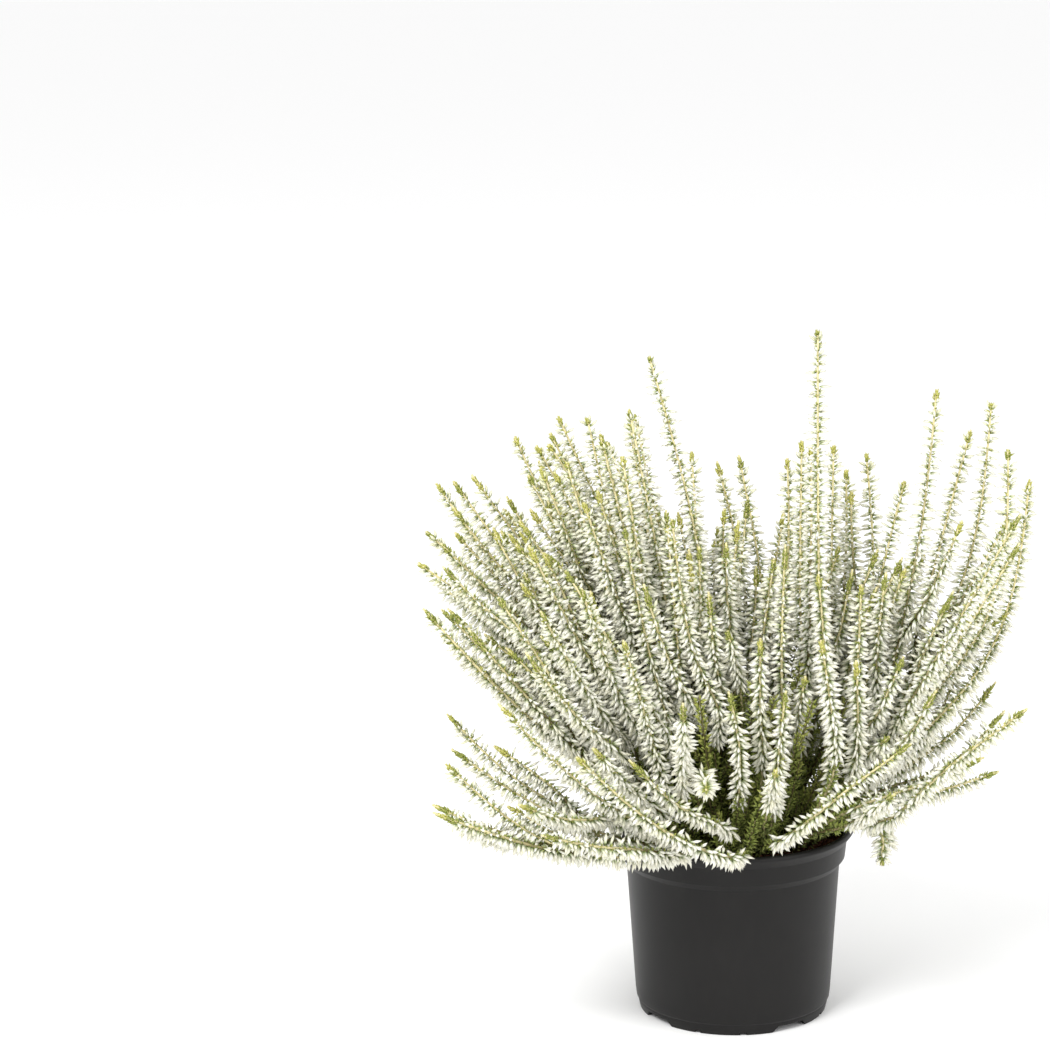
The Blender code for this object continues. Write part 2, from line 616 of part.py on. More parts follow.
def main():
    clear_scene()
    pot_plastic = plain_material("pot_plastic", POT_COLOUR, 0.5)
    peat = plain_material("peat", PEAT_COLOUR, 0.95)
    bloom = plain_material("bloom", BLOOM_COLOUR, 0.7)
    green = plain_material("green", GREEN_COLOUR, 0.6)

    groups = [("tall", TALL_SHOOTS), ("right", RIGHT_SHOOTS), ("left", LEFT_SHOOTS), ("front", FRONT_SHOOTS),
              ("back", back_shoots(np.random.default_rng(SEED))), ("green", GREEN_SHOOTS)]
    names = [f"{group}_shoot_{number:02d}" for group, rows in groups for number, _ in enumerate(rows, 1)]
    rows = [row for _, group_rows in groups for row in group_rows]
    places = np.array([row[:3] for row in rows], float) * MM
    firsts = [first_route(root, three) for root, three in zip(spread_roots(places[:, 0]), places)]
    leaf_ends = [math.inf if name.startswith("green") else leaf_end for name, (_, leaf_end) in zip(names, firsts)]
    routes = np.stack([route for route, _ in firsts])
    reach = np.stack([reach_along(length_of(route), leaf_end) for route, leaf_end in zip(routes, leaf_ends)])
    routes = bend_clear(routes, reach)

    forked = [index for index, row in enumerate(rows) if len(row) > 3]
    sides = np.stack([
        side_route(routes[index], leaf_ends[index], rows[index][3][0], np.array(rows[index][3][1], float) * MM)
        for index in forked
    ])
    side_reach = np.stack([side_reach_along(length_of(side)) for side in sides])
    sides = bend_clear(np.concatenate([routes, sides]), np.concatenate([reach, side_reach]), len(routes))[len(routes):]
    side_of = {index: Line(side) for index, side in zip(forked, sides)}

    make_pot(pot_plastic)
    make_peat(peat, routes[:, 0, :2])
    for index, (name, route, leaf_end) in enumerate(zip(names, routes, leaf_ends)):
        material = green if leaf_end == math.inf else bloom
        make_shoot(name, material, Line(route), leaf_end, side_of.get(index))


main()
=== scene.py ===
"""A pot of white bud heather: a black nursery pot, its peat, and the leafy flowering shoots that stand in it.

Units are metres and +Z is up. The front of the plant faces -Y, and the origin is under the middle of the pot.
"""

import math

import bmesh
import bpy
import numpy as np
from mathutils import Matrix, Quaternion, Vector, noise


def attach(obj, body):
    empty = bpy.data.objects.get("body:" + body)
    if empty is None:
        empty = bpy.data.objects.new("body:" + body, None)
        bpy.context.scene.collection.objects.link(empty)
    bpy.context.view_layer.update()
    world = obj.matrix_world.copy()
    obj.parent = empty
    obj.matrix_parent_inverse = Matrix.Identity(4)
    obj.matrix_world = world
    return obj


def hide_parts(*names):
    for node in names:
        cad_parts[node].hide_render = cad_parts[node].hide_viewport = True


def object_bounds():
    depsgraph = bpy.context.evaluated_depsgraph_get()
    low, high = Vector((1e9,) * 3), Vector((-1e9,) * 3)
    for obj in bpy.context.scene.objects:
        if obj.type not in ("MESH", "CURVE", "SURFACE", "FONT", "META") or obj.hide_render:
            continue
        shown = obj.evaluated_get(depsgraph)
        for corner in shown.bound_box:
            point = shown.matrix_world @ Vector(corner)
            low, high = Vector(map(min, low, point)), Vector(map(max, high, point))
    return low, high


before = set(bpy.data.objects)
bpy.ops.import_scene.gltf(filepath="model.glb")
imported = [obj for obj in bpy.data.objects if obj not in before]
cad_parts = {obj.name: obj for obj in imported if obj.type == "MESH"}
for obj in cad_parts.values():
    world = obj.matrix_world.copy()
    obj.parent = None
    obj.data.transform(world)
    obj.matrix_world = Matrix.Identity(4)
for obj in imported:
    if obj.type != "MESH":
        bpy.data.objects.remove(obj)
cad_box = [list(corner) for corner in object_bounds()]

MM = 0.001

# The view: a long lens a metre and a half away, looking a little down on the plant, which stands in the
# lower right of the picture. It is turned off the plant's axis by a small tilt and pan.
VIEW_FROM = Vector((0, -1.4565, 0.534))
VIEW_DOWN = math.radians(13.66)
VIEW_TILT, VIEW_PAN = math.radians(2.431), math.radians(3.909)
VIEW_LENS, VIEW_SENSOR = 104.2, 36
VIEW_FAR = 60

level = Matrix((
    (1, 0, 0),
    (0, math.sin(VIEW_DOWN), -math.cos(VIEW_DOWN)),
    (0, math.cos(VIEW_DOWN), math.sin(VIEW_DOWN)),
))
aim = level @ Matrix.Rotation(VIEW_TILT, 3, "X") @ Matrix.Rotation(VIEW_PAN, 3, "Y")
camera = bpy.data.objects.new("camera", bpy.data.cameras.new("camera"))
camera.data.lens = VIEW_LENS
camera.data.sensor_width = VIEW_SENSOR
camera.data.clip_end = VIEW_FAR
camera.matrix_world = Matrix.Translation(VIEW_FROM) @ aim.to_4x4()
bpy.context.scene.collection.objects.link(camera)
bpy.context.scene.camera = camera
bpy.context.scene.view_settings.view_transform = "Standard"

# The pot: thin black plastic, moulded in one piece. A tapered wall rises to a collar and a rolled rim, and
# it stands on a foot ring that is cut into four pads by wide gaps, with two small notches in each pad.
RIM_RADIUS = 60 * MM
POT_HEIGHT = 94 * MM
FOOT_RADIUS = 46.5 * MM
FOOT_HEIGHT = 3.5 * MM
FOOT_WIDTH = 3 * MM
WALL = 1.4 * MM
CREASE_HEIGHT = 5 * MM
COLLAR_FOOT = 75.5 * MM
BODY_TOP_RADIUS = 52.9 * MM
BODY_FOOT_RADIUS = 48.2 * MM
COLLAR_RADIUS = 56.6 * MM
COLLAR_ROOM = 1.2 * MM
POT_SIDES = 128
FOOT_COUNT = 4
FOOT_TURN = math.radians(-97.5)
FOOT_GAP = 15 * MM
FOOT_GAP_FLARE = 1.35
NOTCH_TURN = math.radians(14)
NOTCH_WIDTH = 3 * MM
NOTCH_DEPTH = 1.2 * MM
DRAIN_COUNT = 8
DRAIN_RADIUS = 3.5 * MM
DRAIN_RING = 35 * MM
DRAIN_SIDES = 24
CREASE_ANGLE = math.radians(14)
CREASE_BEVEL = 0.3 * MM
SHARP_ANGLE = math.radians(32)
POT_BLACK = (0.0095, 0.0090, 0.0088, 1)
POT_WORN = (0.0150, 0.0145, 0.0140, 1)


class Value:
    """A number that varies over a surface. Sums, differences and products of values add Math nodes."""

    def __init__(self, finish, socket):
        self.finish, self.socket = finish, socket

    def __add__(self, other):
        return self.finish.maths("ADD", self, other)

    def __sub__(self, other):
        return self.finish.maths("SUBTRACT", self, other)

    def __rsub__(self, other):
        return self.finish.maths("SUBTRACT", other, self)

    def __mul__(self, other):
        return self.finish.maths("MULTIPLY", self, other)

    __radd__ = __add__
    __rmul__ = __mul__


class Finish:
    """The finish of one surface: its colours, its gloss and its fine relief."""

    def __init__(self, name, roughness, specular):
        self.material = bpy.data.materials.new(name)
        self.material.use_nodes = True
        self.nodes = self.material.node_tree.nodes
        self.links = self.material.node_tree.links
        self.shader = self.nodes["Principled BSDF"]
        self.shader.inputs["Roughness"].default_value = roughness
        self.shader.inputs["Specular IOR Level"].default_value = specular
        self.place = self.add("ShaderNodeTexCoord", out="Object")

    def add(self, kind, settings=(), sockets=(), out=0):
        """Adds a node: its settings, then its sockets' values or links. Gives one output back."""
        node = self.nodes.new(kind)
        for setting, value in dict(settings).items():
            if setting == "stops":
                self.set_stops(node.color_ramp.elements, value)
            else:
                setattr(node, setting, value)
        for socket, value in dict(sockets).items():
            if isinstance(value, Value):
                self.links.new(value.socket, node.inputs[socket])
            else:
                node.inputs[socket].default_value = value
        return Value(self, node.outputs[out])

    def set_stops(self, elements, stops):
        while len(elements) < len(stops):
            elements.new(0.5)
        for element, (position, colour) in zip(elements, stops):
            element.position, element.color = position, colour

    def maths(self, operation, first, second):
        return self.add("ShaderNodeMath", {"operation": operation}, {0: first, 1: second})

    def ramp(self, value, *stops):
        return self.add("ShaderNodeValToRGB", {"stops": stops}, {"Fac": value})

    def mix(self, share, first, second):
        return self.add("ShaderNodeMix", {"data_type": "RGBA"}, {0: share, 6: first, 7: second}, 2)

    def grain(self, size, detail=3.0, stretch=None):
        """Soft irregular patches about this many metres across."""
        place = self.place
        if stretch:
            place = self.add("ShaderNodeMapping", {}, {"Vector": place, "Scale": stretch})
        sockets = {"Vector": place, "Scale": 1 / size, "Detail": detail, "Roughness": 0.6}
        return self.add("ShaderNodeTexNoise", {}, sockets, "Fac")

    def relief(self, height, depth, strength=1.0):
        sockets = {"Height": height, "Distance": depth, "Strength": strength}
        bump = self.add("ShaderNodeBump", {}, sockets, "Normal")
        self.links.new(bump.socket, self.shader.inputs["Normal"])

    def set(self, socket, value):
        self.links.new(value.socket, self.shader.inputs[socket])


def turned(outline, sides):
    """A closed body turned about the pot's axis from an outline that starts and ends on it."""
    bm = bmesh.new()
    corners = [bm.verts.new((radius, 0, height)) for radius, height in outline]
    edges = [bm.edges.new(pair) for pair in zip(corners, corners[1:])]
    bmesh.ops.spin(
        bm, geom=corners + edges, cent=(0, 0, 0), axis=(0, 0, 1), angle=2 * math.pi, steps=sides,
        use_merge=True,
    )
    bmesh.ops.remove_doubles(bm, verts=bm.verts, dist=0.01 * MM)
    bmesh.ops.recalc_face_normals(bm, faces=bm.faces)
    return bm


def object_from(bm, name, *finishes):
    """A mesh object of what bm holds, in these finishes."""
    mesh = bpy.data.meshes.new(name)
    bm.to_mesh(mesh)
    bm.free()
    for finish in finishes:
        mesh.materials.append(finish.material)
    made = bpy.data.objects.new(name, mesh)
    bpy.context.scene.collection.objects.link(made)
    return made


def pot_inside(height):
    """The radius of the pot's inner wall at a height."""
    share = (height - CREASE_HEIGHT) / (COLLAR_FOOT - CREASE_HEIGHT)
    if share < 1:
        return BODY_FOOT_RADIUS + share * (BODY_TOP_RADIUS - BODY_FOOT_RADIUS) - WALL
    return COLLAR_RADIUS - COLLAR_ROOM - WALL


def foot_and_drain_cuts():
    """What is cut from the pot: four gaps with sloping ends, two notches in each pad, and the drain holes."""
    cuts = bmesh.new()
    ring = FOOT_RADIUS - FOOT_WIDTH / 2
    for foot in range(FOOT_COUNT):
        middle = FOOT_TURN + foot * 2 * math.pi / FOOT_COUNT
        size = Matrix.Diagonal((3 * FOOT_WIDTH, FOOT_GAP, 2 * (FOOT_HEIGHT - 0.4 * MM), 1))
        turn = Matrix.Rotation(middle + math.pi / FOOT_COUNT, 4, "Z") @ Matrix.Translation((ring, 0, 0))
        gap = bmesh.ops.create_cube(cuts, size=1)["verts"]
        low = [vert for vert in gap if vert.co.z < 0]
        bmesh.ops.scale(cuts, vec=(1, 2 * FOOT_GAP_FLARE - 1, 1), verts=low)
        bmesh.ops.transform(cuts, matrix=turn @ size, verts=gap)
        for side in (-NOTCH_TURN, NOTCH_TURN):
            turn = Matrix.Rotation(middle + side, 4, "Z") @ Matrix.Translation((ring, 0, 0))
            size = Matrix.Diagonal((3 * FOOT_WIDTH, NOTCH_WIDTH, 2 * NOTCH_DEPTH, 1))
            bmesh.ops.create_cube(cuts, size=1, matrix=turn @ size)
    for hole in range(DRAIN_COUNT):
        turn = (hole + 0.5) * 2 * math.pi / DRAIN_COUNT
        middle = (math.cos(turn) * DRAIN_RING, math.sin(turn) * DRAIN_RING, FOOT_HEIGHT + WALL / 2)
        bmesh.ops.create_cone(
            cuts, cap_ends=True, segments=DRAIN_SIDES, radius1=DRAIN_RADIUS, radius2=DRAIN_RADIUS,
            depth=WALL + 2 * MM, matrix=Matrix.Translation(middle),
        )
    return cuts


floor_height = FOOT_HEIGHT + WALL
pot_bm = turned(
    [
        (0, FOOT_HEIGHT),
        (FOOT_RADIUS - FOOT_WIDTH, FOOT_HEIGHT),
        (FOOT_RADIUS - FOOT_WIDTH, 0),
        (FOOT_RADIUS, 0),
        (BODY_FOOT_RADIUS - 0.7 * MM, CREASE_HEIGHT - 0.6 * MM),
        (BODY_FOOT_RADIUS - 0.9 * MM, CREASE_HEIGHT - 0.1 * MM),
        (BODY_FOOT_RADIUS, CREASE_HEIGHT + 1 * MM),
        (BODY_FOOT_RADIUS + 0.5 * MM, CREASE_HEIGHT + 5 * MM),
        (BODY_TOP_RADIUS, COLLAR_FOOT - 0.5 * MM),
        (BODY_TOP_RADIUS + 0.1 * MM, COLLAR_FOOT),
        (COLLAR_RADIUS - 1 * MM, COLLAR_FOOT + 3.2 * MM),
        (COLLAR_RADIUS, POT_HEIGHT - 6.5 * MM),
        (RIM_RADIUS - 0.7 * MM, POT_HEIGHT - 3 * MM),
        (RIM_RADIUS, POT_HEIGHT - 2 * MM),
        (RIM_RADIUS - 0.4 * MM, POT_HEIGHT - 0.5 * MM),
        (RIM_RADIUS - 1.2 * MM, POT_HEIGHT),
        (RIM_RADIUS - 2.6 * MM, POT_HEIGHT),
        (RIM_RADIUS - 3.8 * MM, POT_HEIGHT - 0.9 * MM),
        (COLLAR_RADIUS - WALL, POT_HEIGHT - 3 * MM),
        (pot_inside(COLLAR_FOOT + 3 * MM), COLLAR_FOOT + 3 * MM),
        (pot_inside(COLLAR_FOOT - 1 * MM), COLLAR_FOOT - 1 * MM),
        (pot_inside(floor_height), floor_height),
        (0, floor_height),
    ],
    POT_SIDES,
)
creases = [
    edge for edge in pot_bm.edges
    if edge.calc_face_angle(0) > CREASE_ANGLE
    and abs(edge.verts[0].co.z - edge.verts[1].co.z) < 0.001 * MM
    and Vector(edge.verts[0].co[:2]).length > 20 * MM
]
bmesh.ops.bevel(
    pot_bm, geom=creases, offset=CREASE_BEVEL, segments=2, profile=0.5, affect="EDGES", material=-1,
    clamp_overlap=True,
)

pot_finish = Finish("pot_plastic", 0.42, 0.16)
cloud = pot_finish.grain(24 * MM, 2)
speck = pot_finish.grain(0.7 * MM, 2)
film = pot_finish.grain(5 * MM, 4, (1, 1, 0.45))
pot_finish.set("Base Color", pot_finish.mix(cloud * 0.6 + film * 0.4, POT_BLACK, POT_WORN))
pot_finish.set("Roughness", 0.31 + cloud * 0.08 + speck * 0.10)
pot_finish.relief(speck + film * 0.5, 0.05 * MM, 0.5)

pot = object_from(pot_bm, "nursery_pot", pot_finish)
cutter = object_from(foot_and_drain_cuts(), "pot_cuts", pot_finish)
difference = pot.modifiers.new("cuts", "BOOLEAN")
difference.operation, difference.object = "DIFFERENCE", cutter
cut_mesh = bpy.data.meshes.new_from_object(pot.evaluated_get(bpy.context.evaluated_depsgraph_get()))
pot.modifiers.clear()
pot.data = cut_mesh
bpy.data.objects.remove(cutter)
pot.data.shade_smooth()
pot.data.set_sharp_from_angle(angle=SHARP_ANGLE)
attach(pot, "root")
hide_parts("pot")

# The peat: damp reddish brown fibrous potting peat, filled to a finger's breadth under the rim. Its top is
# uneven and strewn with crumbs and short fibres.
PEAT_TOP = 86 * MM
PEAT_ROUGHNESS = 1.3 * MM
FIT_GAP = 0.3 * MM
PEAT_SEED = 5
PEAT_RINGS = 34
PEAT_SIDES = 120
CRUMBS = 520
CRUMB_RADIUS = 0.8
CRUMB_SIZES = (0.5, 1.5)
FIBRES = 200
FIBRE_LENGTHS = (3, 9)
FIBRE_RADIUS, FIBRE_END = 0.28 * MM, 0.12 * MM
PEAT_DARK = (0.028, 0.012, 0.008, 1)
PEAT_RED = (0.150, 0.062, 0.036, 1)
PEAT_STRAW = (0.260, 0.140, 0.070, 1)


def peat_height(x, y):
    place = Vector((x, y, 0))
    lumps = noise.noise(place / (9 * MM)) + 0.5 * noise.noise(place / (3.5 * MM))
    return PEAT_TOP + PEAT_ROUGHNESS * (lumps + 0.3 * noise.noise(place / (1.4 * MM)))


peat_floor = floor_height + FIT_GAP
peat_step = COLLAR_FOOT - 1 * MM
peat_edge = pot_inside(PEAT_TOP) - FIT_GAP
peat_bm = turned(
    [
        (0, peat_floor),
        (pot_inside(peat_floor) - FIT_GAP, peat_floor),
        (pot_inside(peat_step) - FIT_GAP, peat_step),
        (pot_inside(peat_step) - FIT_GAP, COLLAR_FOOT + 2.6 * MM),
        (peat_edge, COLLAR_FOOT + 3.4 * MM),
        (peat_edge, PEAT_TOP - 2 * MM),
    ]
    + [((peat_edge - 0.6 * MM) * (1 - ring / PEAT_RINGS), PEAT_TOP) for ring in range(PEAT_RINGS + 1)],
    PEAT_SIDES,
)
for vert in peat_bm.verts:
    if vert.co.z > PEAT_TOP - 0.5 * MM:
        vert.co.z = peat_height(vert.co.x, vert.co.y)
for face in peat_bm.faces:
    face.smooth = True

peat_draw = np.random.default_rng(PEAT_SEED)


def strewn(nearest, edge_gap, lift):
    """A place on the peat, drawn at random between the nearest share of its area and its edge."""
    turn = peat_draw.uniform(0, 2 * math.pi)
    out = math.sqrt(peat_draw.uniform(nearest, 1)) * (peat_edge - edge_gap)
    x, y = out * math.cos(turn), out * math.sin(turn)
    return Matrix.Translation((x, y, peat_height(x, y) + lift))


for _ in range(CRUMBS):
    place = strewn(0.05, 2 * MM, 0.2 * MM)
    shape = Matrix.Diagonal((*(peat_draw.uniform(*CRUMB_SIZES, 3) * MM), 1))
    spin = Quaternion(peat_draw.normal(size=4)).normalized().to_matrix().to_4x4()
    bmesh.ops.create_icosphere(peat_bm, subdivisions=1, radius=CRUMB_RADIUS, matrix=place @ spin @ shape)
for _ in range(FIBRES):
    place = strewn(0.1, 4 * MM, 0.6 * MM)
    turn = Matrix.Rotation(peat_draw.uniform(0, 2 * math.pi), 4, "Z")
    lie = turn @ Matrix.Rotation(math.radians(90) + peat_draw.normal() * 0.25, 4, "Y")
    bmesh.ops.create_cone(
        peat_bm, cap_ends=True, segments=4, radius1=FIBRE_RADIUS, radius2=FIBRE_END,
        depth=peat_draw.uniform(*FIBRE_LENGTHS) * MM, matrix=place @ lie,
    )

peat_finish = Finish("peat", 0.95, 0.15)
clump = peat_finish.grain(3.2 * MM, 4)
strand = peat_finish.grain(1.1 * MM, 3, (1, 0.3, 1))
peat_stops = (0.36, PEAT_DARK), (0.55, PEAT_RED), (0.72, PEAT_STRAW)
peat_finish.set("Base Color", peat_finish.ramp(clump * 0.6 + strand * 0.4, *peat_stops))
peat_finish.relief(clump + strand, 0.7 * MM, 0.9)
peat = object_from(peat_bm, "peat_fill", peat_finish)
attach(peat, "root")
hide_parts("peat")

# How the shoots run: each leaves the peat on its own side of the plant and passes smoothly through three
# places, where its flowers start, part way, and its tip. They are bent clear of each other and of the rim.
ROOT_REACH = 42 * MM
ROOT_SHARE = 0.5
ROOT_PITCH = 7.4 * MM
ROOT_ROUNDS, ROOT_EASE = 400, 0.3
ROUTE_POINTS = 26
STRETCH_STEPS = 20
CURVE_STEPS = 60
STEM_END = 10 * MM
LEAF_REACH = 2.9 * MM
BLOOM_REACH = 5.6 * MM
TIP_REACH = 2.5 * MM
TIP_LENGTH = 16 * MM
STEM_RADIUS = 1.5 * MM
SIDE_TURN = math.radians(32)
SIDE_BARE = 16 * MM
SIDE_HELD = 2
SIDE_TIP = 12 * MM
CLEARANCE = 0.5 * MM
SPREAD_ROUNDS = 160
ROUNDS_PER_LOOK = 8
LOOK_MARGIN = 6 * MM
LONGEST_PUSH = 1.2 * MM
SEED = 11

# Where each shoot runs, in millimetres right of, behind and above the origin: where its flowers start, a
# place on its way, and its tip. Some have a side spike: how far along the flowers it leaves, and its own tip.
TALL_SHOOTS = [
    ((45, -45, 121), (42, -24, 203), (41, 6, 339)),
    ((-8, -12, 142), (-17, 8, 231), (-41, 25, 324), (0.05, (-7, -40, 198))),
    ((-23, -24, 149), (-35, -14, 225), (-50, -5, 303), (0.12, (-20, -38, 232))),
    ((66, -5, 132), (86, 5, 206), (99, 15, 309), (0.1, (74, -12, 224))),
    ((58, 8, 132), (72, 22, 208), (85, 35, 260)),
    ((60, 30, 138), (70, 45, 205), (67, 58, 270), (0.25, (59, 40, 254))),
    ((49, 15, 144), (49, 28, 211), (50, 36, 278), (0.15, (57, 58, 262))),
    ((33, -15, 138), (33, 8, 211), (34, 26, 282), (0.12, (38, 10, 282))),
    ((21, 20, 140), (14, 42, 211), (3, 60, 269), (0.18, (27, 34, 272))),
    ((10, 35, 147), (4, 58, 213), (-8, 76, 263), (0.18, (-8, 46, 235))),
    ((-15, 20, 144), (-40, 36, 220), (-63, 46, 278)),
    ((-20, -42, 148), (-27, -34, 205), (-32, -24, 257)),
]
RIGHT_SHOOTS = [
    ((66, 10, 138), (112, 34, 204), (128, 46, 297)),
    ((71, -6, 132), (125, 0, 202), (133, 6, 281)),
    ((75, -24, 130), (129, 12, 185), (147, 40, 260)),
    ((79, 20, 112), (107, 28, 130), (132, 38, 157)),
    ((72, 0, 110), (105, 4, 122), (134, 8, 150)),
    ((58, -58, 119), (91, -50, 129), (120, -42, 140)),
    ((75, -16, 109), (101, -14, 115), (130, -10, 124)),
    ((65, 30, 131), (90, 42, 156), (97, 54, 189), (0.12, (82, 16, 224))),
    ((65, -36, 125), (83, -46, 150), (96, -54, 176)),
    ((20, -56, 118), (22, -62, 149), (25, -68, 179), (0.15, (25, -38, 243))),
    ((57, -48, 133), (59, -53, 161), (58, -56, 191), (0.15, (61, -40, 224))),
    ((22, -67, 103), (54, -84, 136), (83, -80, 157)),
    ((67, -38, 113), (73, -42, 107), (74, -42, 93)),
]
LEFT_SHOOTS = [
    ((-26, -8, 151), (-54, 2, 227), (-71, 10, 296)),
    ((-31, -34, 155), (-62, -26, 223), (-80, -16, 279), (0.35, (-87, 2, 271))),
    ((-21, 28, 138), (-68, 34, 202), (-96, 38, 259)),
    ((-28, -18, 142), (-67, -8, 206), (-99, 0, 253), (0.35, (-103, -20, 251))),
    ((-16, 36, 141), (-71, 30, 208), (-108, 28, 284)),
    ((-25, 20, 128), (-97, 34, 189), (-149, 42, 258)),
    ((-29, -2, 129), (-95, 4, 189), (-149, -12, 244), (0.4, (-115, 20, 238))),
    ((-38, -28, 133), (-98, -33, 193), (-150, -44, 235), (0.35, (-101, -42, 225))),
    ((-42, -46, 125), (-92, -42, 170), (-137, -36, 211)),
    ((-33, -60, 116), (-96, -66, 165), (-146, -62, 217)),
    ((-39, -36, 98), (-97, -26, 117), (-140, -18, 154)),
    ((-39, -56, 96), (-90, -54, 116), (-135, -50, 145), (0.3, (-115, -44, 145))),
    ((-24, -68, 97), (-81, -82, 106), (-135, -80, 146)),
]
FRONT_SHOOTS = [
    ((14, -50, 138), (13, -58, 172), (13, -62, 203)),
    ((3, -58, 123), (3, -66, 152), (-2, -74, 180)),
    ((49, -62, 146), (46, -67, 172), (41, -70, 204)),
    ((-29, -50, 151), (-42, -50, 204), (-51, -50, 253)),
    ((-21, -56, 138), (-48, -66, 186), (-78, -70, 237)),
    ((-29, -64, 101), (-71, -86, 138), (-109, -90, 178)),
    ((3, -69, 93), (-36, -98, 122), (-72, -106, 157)),
    ((-1, -64, 109), (-25, -84, 127), (-48, -96, 153)),
    ((-16, -56, 134), (-13, -94, 142), (-12, -128, 148)),
]

# The far side is grown by rule: a low and a high rank of shoots in turn, fanned round the back. Each rank
# has the reach and height of the same three places.
BACK_COUNT = 8
BACK_FROM, BACK_TO = math.radians(24), math.radians(156)
LOW_BACK = ((46, 108), (98, 120), (131, 152))
HIGH_BACK = ((36, 120), (80, 168), (110, 224))
BACK_JITTER = 5

# Short twigs without flowers at the heart of the plant.
GREEN_SHOOTS = [
    ((-12, -34, 121), (-16, -38, 131), (-19, -42, 142)),
    ((7, -40, 111), (8, -44, 119), (8, -50, 128)),
    ((28, -38, 117), (30, -42, 128), (32, -44, 138)),
]


def back_shoots(draw):
    """The shoots that fan round the back, low and high in turn."""
    rows = []
    for place in range(BACK_COUNT):
        turn = BACK_FROM + (BACK_TO - BACK_FROM) * (place + 0.5) / BACK_COUNT
        turn += math.radians(draw.uniform(-BACK_JITTER, BACK_JITTER))
        rows.append([
            (reach * math.cos(turn), reach * math.sin(turn), height + draw.uniform(-BACK_JITTER, BACK_JITTER))
            for reach, height in (LOW_BACK if place % 2 else HIGH_BACK)
        ])
    return rows


def spread_roots(feet):
    """Root places on the peat, each on the side of the plant where its flowers start, and well apart."""
    roots = feet[:, :2] * ROOT_SHARE
    for _ in range(ROOT_ROUNDS):
        apart = roots[:, None] - roots[None]
        gap = np.linalg.norm(apart, axis=2) + 1e-9
        close = np.clip(ROOT_PITCH - gap, 0, None) * (1 - np.eye(len(roots)))
        roots = roots + ROOT_EASE * (apart / gap[..., None] * close[..., None]).sum(axis=1)
        out = np.linalg.norm(roots, axis=1)
        roots *= np.minimum(1, ROOT_REACH / np.maximum(out, 1e-9))[:, None]
    return roots


def evenly(points, count):
    """The polyline's points, spaced evenly along it."""
    along = np.concatenate([[0], np.cumsum(np.linalg.norm(np.diff(points, axis=0), axis=1))])
    want = np.linspace(0, along[-1], count)
    return np.stack([np.interp(want, along, points[:, axis]) for axis in range(3)], axis=1)


def length_of(points):
    return np.linalg.norm(np.diff(points, axis=0), axis=1).sum()


def first_route(root, places):
    """A shoot's first line, smoothly through its places, and how far along it its flowers start."""
    points = np.array([(root[0], root[1], PEAT_TOP + 2 * MM), *places])
    steps = np.linalg.norm(np.diff(points, axis=0), axis=1)
    ways = np.diff(points, axis=0) / steps[:, None]
    inner = (ways[:-1] * steps[1:, None] + ways[1:] * steps[:-1, None]) / (steps[:-1] + steps[1:])[:, None]
    ways = np.concatenate([[1.5 * ways[0] - 0.5 * inner[0]], inner, [1.5 * ways[-1] - 0.5 * inner[-1]]])
    share = np.linspace(0, 1, STRETCH_STEPS, endpoint=False)[:, None]
    rest = 1 - share
    curve = np.concatenate([
        rest**2 * (1 + 2 * share) * points[index] + share * rest**2 * steps[index] * ways[index]
        + share**2 * (3 - 2 * share) * points[index + 1] - share**2 * rest * steps[index] * ways[index + 1]
        for index in range(len(steps))
    ] + [points[-1:]])
    return evenly(curve, ROUTE_POINTS), length_of(curve[:STRETCH_STEPS + 1])


def curve_between(start, leave, tip, arrive):
    """A smooth line from start to tip with these headings at its two ends."""
    share = np.linspace(0, 1, CURVE_STEPS)[:, None]
    pull = np.linalg.norm(tip - start) / 3
    first, second = start + leave * pull, tip - arrive * pull
    rest = 1 - share
    curve = rest**3 * start + 3 * rest**2 * share * first + 3 * rest * share**2 * second + share**3 * tip
    return evenly(curve, ROUTE_POINTS)


def fork_route(parent, leaf_end, share, tip):
    """A side spike's first line, which turns away from its parent's part way along the parent's flowers."""
    line = Line(parent)
    leaves_at = leaf_end + share * (line.length - leaf_end)
    start, along = np.array(line.at(leaves_at)), np.array(line.heading(leaves_at + 4 * MM))
    chord = (tip - start) / np.linalg.norm(tip - start)
    side = chord - along * chord.dot(along)
    leave = along * math.cos(SIDE_TURN) + side / np.linalg.norm(side) * math.sin(SIDE_TURN)
    arrive = 1.7 * chord - 0.7 * leave
    return curve_between(start, leave, tip, arrive / np.linalg.norm(arrive))


class Line:
    """The line that a shoot or side spike follows, read by distance from its start."""

    def __init__(self, points):
        self.points = evenly(points, ROUTE_POINTS)
        self.length = length_of(self.points)
        self.along = np.linspace(0, self.length, ROUTE_POINTS)

    def at(self, distance):
        return Vector([float(np.interp(distance, self.along, self.points[:, axis])) for axis in range(3)])

    def heading(self, distance):
        return (self.at(distance + 2 * MM) - self.at(distance - 2 * MM)).normalized()


def reach_along(length, leaf_end):
    """How far the shoot's leaves or flowers stand out at each of its route points."""
    top = BLOOM_REACH if leaf_end < length - TIP_LENGTH else LEAF_REACH
    leaf_end = min(max(leaf_end, STEM_END + 5 * MM), length - TIP_LENGTH - 6 * MM)
    return np.interp(
        np.linspace(0, length, ROUTE_POINTS),
        [0, STEM_END, STEM_END + 4 * MM, leaf_end, leaf_end + 6 * MM, length - TIP_LENGTH, length],
        [STEM_RADIUS, STEM_RADIUS, LEAF_REACH, LEAF_REACH, top, max(TIP_REACH, 0.75 * top), TIP_REACH],
    )


